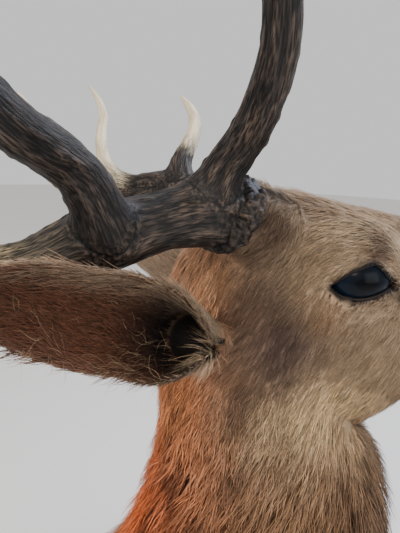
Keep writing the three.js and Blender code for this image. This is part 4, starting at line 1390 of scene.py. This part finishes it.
def from_axis(points, beam_points):
    """The tine's points with one more at the start, the nearest place on the beam's middle line."""
    line, _ = curve(beam_points, 1.0)
    gap = np.linalg.norm(line - np.array(points[0]), axis=-1)
    return [tuple(line[gap.argmin()]), *points] if gap.min() > 3 else points


def distances(points, bars):
    """How far points in mm lie outside each bar, and the ways out of them."""
    gaps, ways_out = [], []
    for bar in bars:
        centre = bar[:, :3]
        square = (points ** 2).sum(axis=1)[:, None] - 2 * points @ centre.T + (centre ** 2).sum(axis=1)
        gap = np.sqrt(np.maximum(square, 0)) - bar[:, 3]
        near = gap.argmin(axis=1)
        gaps.append(gap[np.arange(len(points)), near])
        ways_out.append(unit(points - centre[near]))
    return np.stack(gaps, axis=1), np.stack(ways_out, axis=1)


def flow_together(mesh, bars, reach):
    """Fills the forks. Points move out until -reach * ln(sum of e^(-d / reach)), a smooth least of
    their distances d to all bars, equals the plain least distance they had. Near the forks and the
    burr the attribute calm is 1."""
    points = points_of(mesh) / MM
    gaps, _ = distances(points, bars)
    own, second = np.sort(gaps, axis=1)[:, :2].T
    chosen = np.flatnonzero((second < 4.5 * reach) & (own < 6))
    moved, own = points[chosen], own[chosen]
    for _ in range(4):
        gaps, ways_out = distances(moved, bars)
        least = gaps.min(axis=1)
        weight = np.exp(-(gaps - least[:, None]) / reach)
        soft = least - reach * np.log(weight.sum(axis=1))
        slope = (ways_out * (weight / weight.sum(axis=1, keepdims=True))[..., None]).sum(axis=1)
        step = (soft - own) / np.maximum((slope ** 2).sum(axis=1), 0.35) * (1 - smooth_step(own, 3, 6))
        moved = moved - step[:, None] * slope
    foot = np.linalg.norm(points - bars[0][0, :3], axis=-1)
    write_field(mesh, "calm", np.maximum(1 - smooth_step(second, 3, 11), 1 - smooth_step(foot, 30, 46)))
    points[chosen] = moved
    move_points(mesh, points * MM)


def tine_radius(radius, flare=0.22):
    """radius times (1 + flare e^-9t)(1 - 0.28 t) sqrt(1 - t^3.2): a flared root and a short point.
    Its first stretch, inside the beam, is slimmer."""
    return lambda t: (radius * (1 + flare * np.exp(-9 * t)) * (1 - 0.28 * t)
                      * (0.6 + 0.4 * smooth_step(t, 0, 0.1)) * np.sqrt(np.maximum(0.012, 1 - t ** 3.2)))


def beam_radius(t):
    """From the base's radius to the middle's by 0.45 of the length, then to the end's, with a foot."""
    low = BEAM["base"] + (BEAM["middle"] - BEAM["base"]) * np.clip(t / 0.45, 0, 1)
    return low + (BEAM["end"] - BEAM["middle"]) * np.clip((t - 0.45) / 0.55, 0, 1) + 3 * np.exp(-40 * t)


def burr_bar(points, hand, seed):
    """The knobbly ring: a short round bar whose radius bulges as a half circle along its axis, with
    knobs from two noises round it."""
    line, _ = curve(points, 2.0)
    axis = unit(unit(line[1] - line[0]) + np.array([0, 0, BURR["rise"]]))
    one = unit(np.cross(axis, [0, 0, 1]))
    two = np.cross(axis, one)
    z = np.linspace(BURR["low"], BURR["high"], 18)[:, None]
    a = turn(150)
    share = (z - BURR["low"]) / (BURR["high"] - BURR["low"])
    bulge = 0.66 + 0.34 * np.sqrt(np.clip(1 - (2 * share - 1) ** 2, 0, 1))
    knobs = noise_at(a / (2 * np.pi) * 22, z / 6.0, 0, seed, 22)
    grit = noise_at(a / (2 * np.pi) * 50, z / 3.0, 0, seed + 1, 50)
    radius = (BURR["radius"] - 2.0) * bulge + (2.4 * knobs + 1.9 * grit) * bulge
    rings = line[0] + (z + 1.5 * grit)[..., None] * axis + radius[..., None] * around(a, one, two)
    crest = np.clip(0.4 + 0.5 * knobs + 0.3 * grit, 0, 1)
    grain = np.broadcast_arrays(radius * np.cos(a), radius * np.sin(a), 0.6 * z + seed)
    values = {"antler_colour": mix(ANTLER_DARK, BURR_BROWN, crest ** 1.3),
              "grain_place": np.stack(grain, axis=-1), "tip_share": 0 * radius}
    return closed_tube("burr", place(rings, hand), [antler_bone, antler_bone_tine], index=1, values=values)


def weathered_antler(name):
    """Bone stained by bark and soil: fine furrows 1 mm apart run along the bar, black in their beds
    and polished grey-brown on their backs. The grain reads the bar's own place, drawn out along it;
    at the forks and the burr it gives way to small pearls."""
    material, tree = new_material(name)
    colour, where, calm, pale = (add(tree, "ShaderNodeAttribute", {"attribute_name": field}).outputs
                                 for field in ("antler_colour", "grain_place", "calm", "tip_share"))
    grain = speckle(tree, 1.15, 2.0, where["Vector"], Roughness=0.5)  # its place is already in mm
    pearls = speckle(tree, 3.0 * MM, 3.0, Roughness=0.6)
    relief = add(tree, "ShaderNodeMix", {"data_type": "FLOAT"},
                 {"Factor": calm["Fac"], "A": grain, "B": pearls}).outputs["Result"]
    tone = rescaled(tree, relief, 0.42, 0.64, 0.2, 2.4)
    eased = add(tree, "ShaderNodeMix", {"data_type": "FLOAT", "B": 1.0}, {"A": tone, "Factor": pale["Fac"]})
    finish_material(tree, {"Roughness": 0.54, "Specular IOR Level": 0.26},
                    {"Base Color": times(tree, colour["Vector"], eased.outputs["Result"]),
                     "Normal": raised(tree, relief, 0.9 * MM)})
    return material


antler_bone = weathered_antler("weathered_antler")
antler_bone_tine = weathered_antler("weathered_antler_tine")

# %% [markdown]
# Both antlers are joined from their bars and the burr, and each fork is then
# filled so that the bars flow into one another. The left antler's low tines
# are worn pale from 0.44 of their length, the right one's only at the tips.

# %% The antlers
WORN = {"right": 0.86, "left": 0.44}  # share of the brow and bez tines at which ivory begins
for number, (name, hand) in enumerate(HANDS.items()):
    plan, worn = ANTLERS[name], WORN[name]
    seed = 20 + 40 * number
    beam, middle = antler_bar(f"antler_{name}_beam", plan["beam"], beam_radius, hand, seed, 0.8, 1.5, 1.5,
                              columns=84, spacing=2.0, olive=0.75)
    tines, bars = [burr_bar(plan["beam"], hand, seed + 30)], [middle]
    radii, end = plan["radii"], np.array(plan["beam"][-1], dtype=float)
    shapes = [  # name, points, radius, flare, pearls, where the pale tip begins, paler bone
        ("brow", plan["brow"], radii["brow"], 0.4, 1.2, worn, 0.0),
        ("bez", plan["bez"], radii["bez"], 0.4, 1.2, worn, 0.0),
        ("trez", plan["trez"], radii["trez"], 0.4, 0.8, 0.6, 0.75),
        *[(part, np.array(steps) + end, radius, 0.22, 0.5, 0.66, 0.75)
          for part, (steps, radius) in CROWN.items()],
    ]
    for order, (part, points, radius, flare, pearl, ivory, olive) in enumerate(shapes):
        points = from_axis([tuple(q) for q in points], plan["beam"])
        tine, middle = antler_bar(part, points, tine_radius(radius, flare), hand, seed + 3 * order + 1, 0.7,
                                  pearl, ivory, olive=olive)
        tines.append(tine)
        bars.append(middle)
    mesh = joined(beam, tines)
    mesh.validate()
    flow_together(mesh, bars, 6.5)
    smooth_crease(mesh, 4 * MM, 3)
    beam.name = f"antler_{name}"
    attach(beam, "root")
    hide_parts(*[f"antler_{name}_{p}" for p in ("base", "beam", "top", "brow", "bez", "trez", *CROWN)])
    print(beam.name, len(mesh.polygons), "faces")

# %% [markdown]
# The board is a plain shield of dark stained oak with a moulded edge. Its
# outline is drawn once, as a line and two curves, and carried through the
# steps of the moulding's profile from the back to the front face.

# %% The board
BOARD = {"height": 480.0, "width": 350.0}
MOULDING = [  # inset, depth
    (1.2, 0.0), (0.0, 1.2), (0.0, 12.5), (0.5, 14.6), (1.8, 16.2), (4.0, 17.0), (16.5, 17.0), (19.0, 17.4),
    (21.4, 18.8), (23.2, 21.0), (24.2, 23.2), (25.6, 25.0), (28.0, 26.0),
]


def bezier(points, count):
    """A Bezier curve: every stretch of the control line is cut at the same share, again and again."""
    t = np.linspace(0, 1, count, endpoint=False)[:, None]
    layer = [np.broadcast_to(np.array(p, dtype=float), (count, 2)) for p in points]
    while len(layer) > 1:
        layer = [a + (b - a) * t for a, b in zip(layer[:-1], layer[1:])]
    return layer[0]


def shield(inset):
    """The shield's outline at an inset: flat top, hollow shoulders, sides that swell and run to a point."""
    w, top, low = BOARD["width"] / 2 - inset, BOARD["height"] / 2 - inset, -BOARD["height"] / 2 + 1.3 * inset
    shoulder, side = (0.82 * w, top), (w, 0.74 * top)
    half = np.concatenate([bezier([(0, top), shoulder], 20),
                           bezier([shoulder, (0.86 * w, 0.82 * top), side], 14),
                           bezier([side, (1.02 * w, 0.1 * top), (0.94 * w, 0.52 * low), (0, low)], 70)])
    other = half[:0:-1] * np.array([-1, 1])
    return np.concatenate([half, [[0, low]], other])


def stained_oak(name):
    """Open-grained oak, stained dark and waxed: rings of growth 4 mm apart along the board, pores drawn
    out along the grain, and a soft gloss."""
    material, tree = new_material(name)
    where = add(tree, "ShaderNodeTexCoord").outputs["Object"]
    drawn = add(tree, "ShaderNodeMapping", {"Scale": (1.0, 1.0, 0.07)}, {"Vector": where}).outputs["Vector"]
    broad = speckle(tree, 28 * MM, 3.0, drawn, Distortion=0.6)
    rings = add(tree, "ShaderNodeMath", {"operation": "MULTIPLY", 1: 38.0}, {0: broad}).outputs["Value"]
    wave = add(tree, "ShaderNodeMath", {"operation": "SINE"}, {0: rings}).outputs["Value"]
    both = add(tree, "ShaderNodeMath", {"operation": "MULTIPLY_ADD", 1: 0.16},
               {0: wave, 2: speckle(tree, 1.4 * MM, 2.0, drawn)}).outputs["Value"]
    ramp = add(tree, "ShaderNodeValToRGB", links={"Fac": both})
    for element, (position, code) in zip(ramp.color_ramp.elements, ((0.3, "#2a180e"), (0.72, "#6a4327"))):
        element.position = position
        element.color = (*hex_colour(code), 1)
    finish_material(tree, {"Roughness": 0.42, "Coat Weight": 0.25, "Coat Roughness": 0.2},
                    {"Base Color": ramp.outputs["Color"], "Normal": raised(tree, both, 0.5 * MM, 0.5)})
    return material


outlines = []
for inset, depth in MOULDING:
    flat = shield(inset) * MM
    outlines.append(np.stack([flat[:, 0], np.full(len(flat), -depth * MM), flat[:, 1]], axis=-1))
board = closed_tube("wall_board", np.stack(outlines), [stained_oak("dark_stained_oak")])
board.data.set_sharp_from_angle(angle=0.6)
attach(board, "root")
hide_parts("board")
print("board:", len(board.data.polygons), "faces")

# %% [markdown]
# The mount hangs above a plain pale floor in soft light: a large warm lamp
# above and behind its right side, a cold one opposite, and a weak one before
# it. The camera stands close to its right side, level with the ear's root.

# %% The floor, the lights and the camera
FLOOR_GAP = 0.002  # below the lowest point
floor_level = cad_box[0][2] - FLOOR_GAP
bpy.ops.mesh.primitive_circle_add(vertices=64, radius=9.0, fill_type="NGON", location=(0, 0, floor_level))
floor = bpy.context.object
floor.name = "floor"
pale, tree = new_material("pale_floor")
finish_material(tree, {"Base Color": (*hex_colour("#e4e2de"), 1), "Roughness": 0.8}, {})
floor.data.materials.append(pale)


def looking(at, forward, roll):
    """The matrix of a light or camera at a place, looking forward, rolled clockwise by degrees."""
    right = unit(np.cross(forward, [0, 0, 1]))
    up = np.cross(right, forward)
    c, s = np.cos(np.radians(roll)), np.sin(np.radians(roll))
    axes = np.stack([c * right + s * up, c * up - s * right, -forward, at], axis=1)
    return Matrix([*axes.tolist(), [0, 0, 0, 1]])


def hang(name, data, at, forward, roll=0):
    """A light or camera in the scene."""
    item = bpy.data.objects.new(name, data)
    item.matrix_world = looking(at, forward, roll)
    bpy.context.collection.objects.link(item)
    return item


HEAD = np.array([0.0, -0.45, 0.56])  # where the lamps look
LAMPS = [  # name, place, side in metres, watts, colour
    ("key", (-1.4, 0.3, 1.9), 1.2, 46, "#fff2e4"),
    ("rim", (0.8, -1.6, 1.9), 1.2, 50, "#e2ebff"),
    ("fill", (-1.6, -1.6, 1.0), 1.4, 14, "#ffffff"),
]
for name, at, side, watts, colour in LAMPS:
    data = bpy.data.lights.new(name, "AREA")
    data.shape = "RECTANGLE"
    data.size, data.size_y, data.energy = side, side, watts
    data.color = hex_colour(colour)
    hang(name, data, np.array(at), unit(HEAD - at))
world = bpy.data.worlds.new("pale_room")
world.use_nodes = True
world.node_tree.nodes["Background"].inputs["Color"].default_value = (*hex_colour("#eeeeef"), 1)
world.node_tree.nodes["Background"].inputs["Strength"].default_value = 0.95
bpy.context.scene.world = world

CAMERA = {"at": np.array([-0.385, -0.366, 0.692]), "yaw": 1.5, "down": 16.0, "roll": 2.0}  # metres, degrees
camera_data = bpy.data.cameras.new("camera")
camera_data.sensor_width = 36.0
camera_data.lens = 29.25
camera_data.clip_start = 0.01
yaw, down = np.radians([CAMERA["yaw"], CAMERA["down"]])
forward = np.array([np.cos(down) * np.cos(yaw), -np.cos(down) * np.sin(yaw), -np.sin(down)])
bpy.context.scene.camera = hang("camera", camera_data, CAMERA["at"], forward, CAMERA["roll"])
print("camera looks along", forward.round(3).tolist())
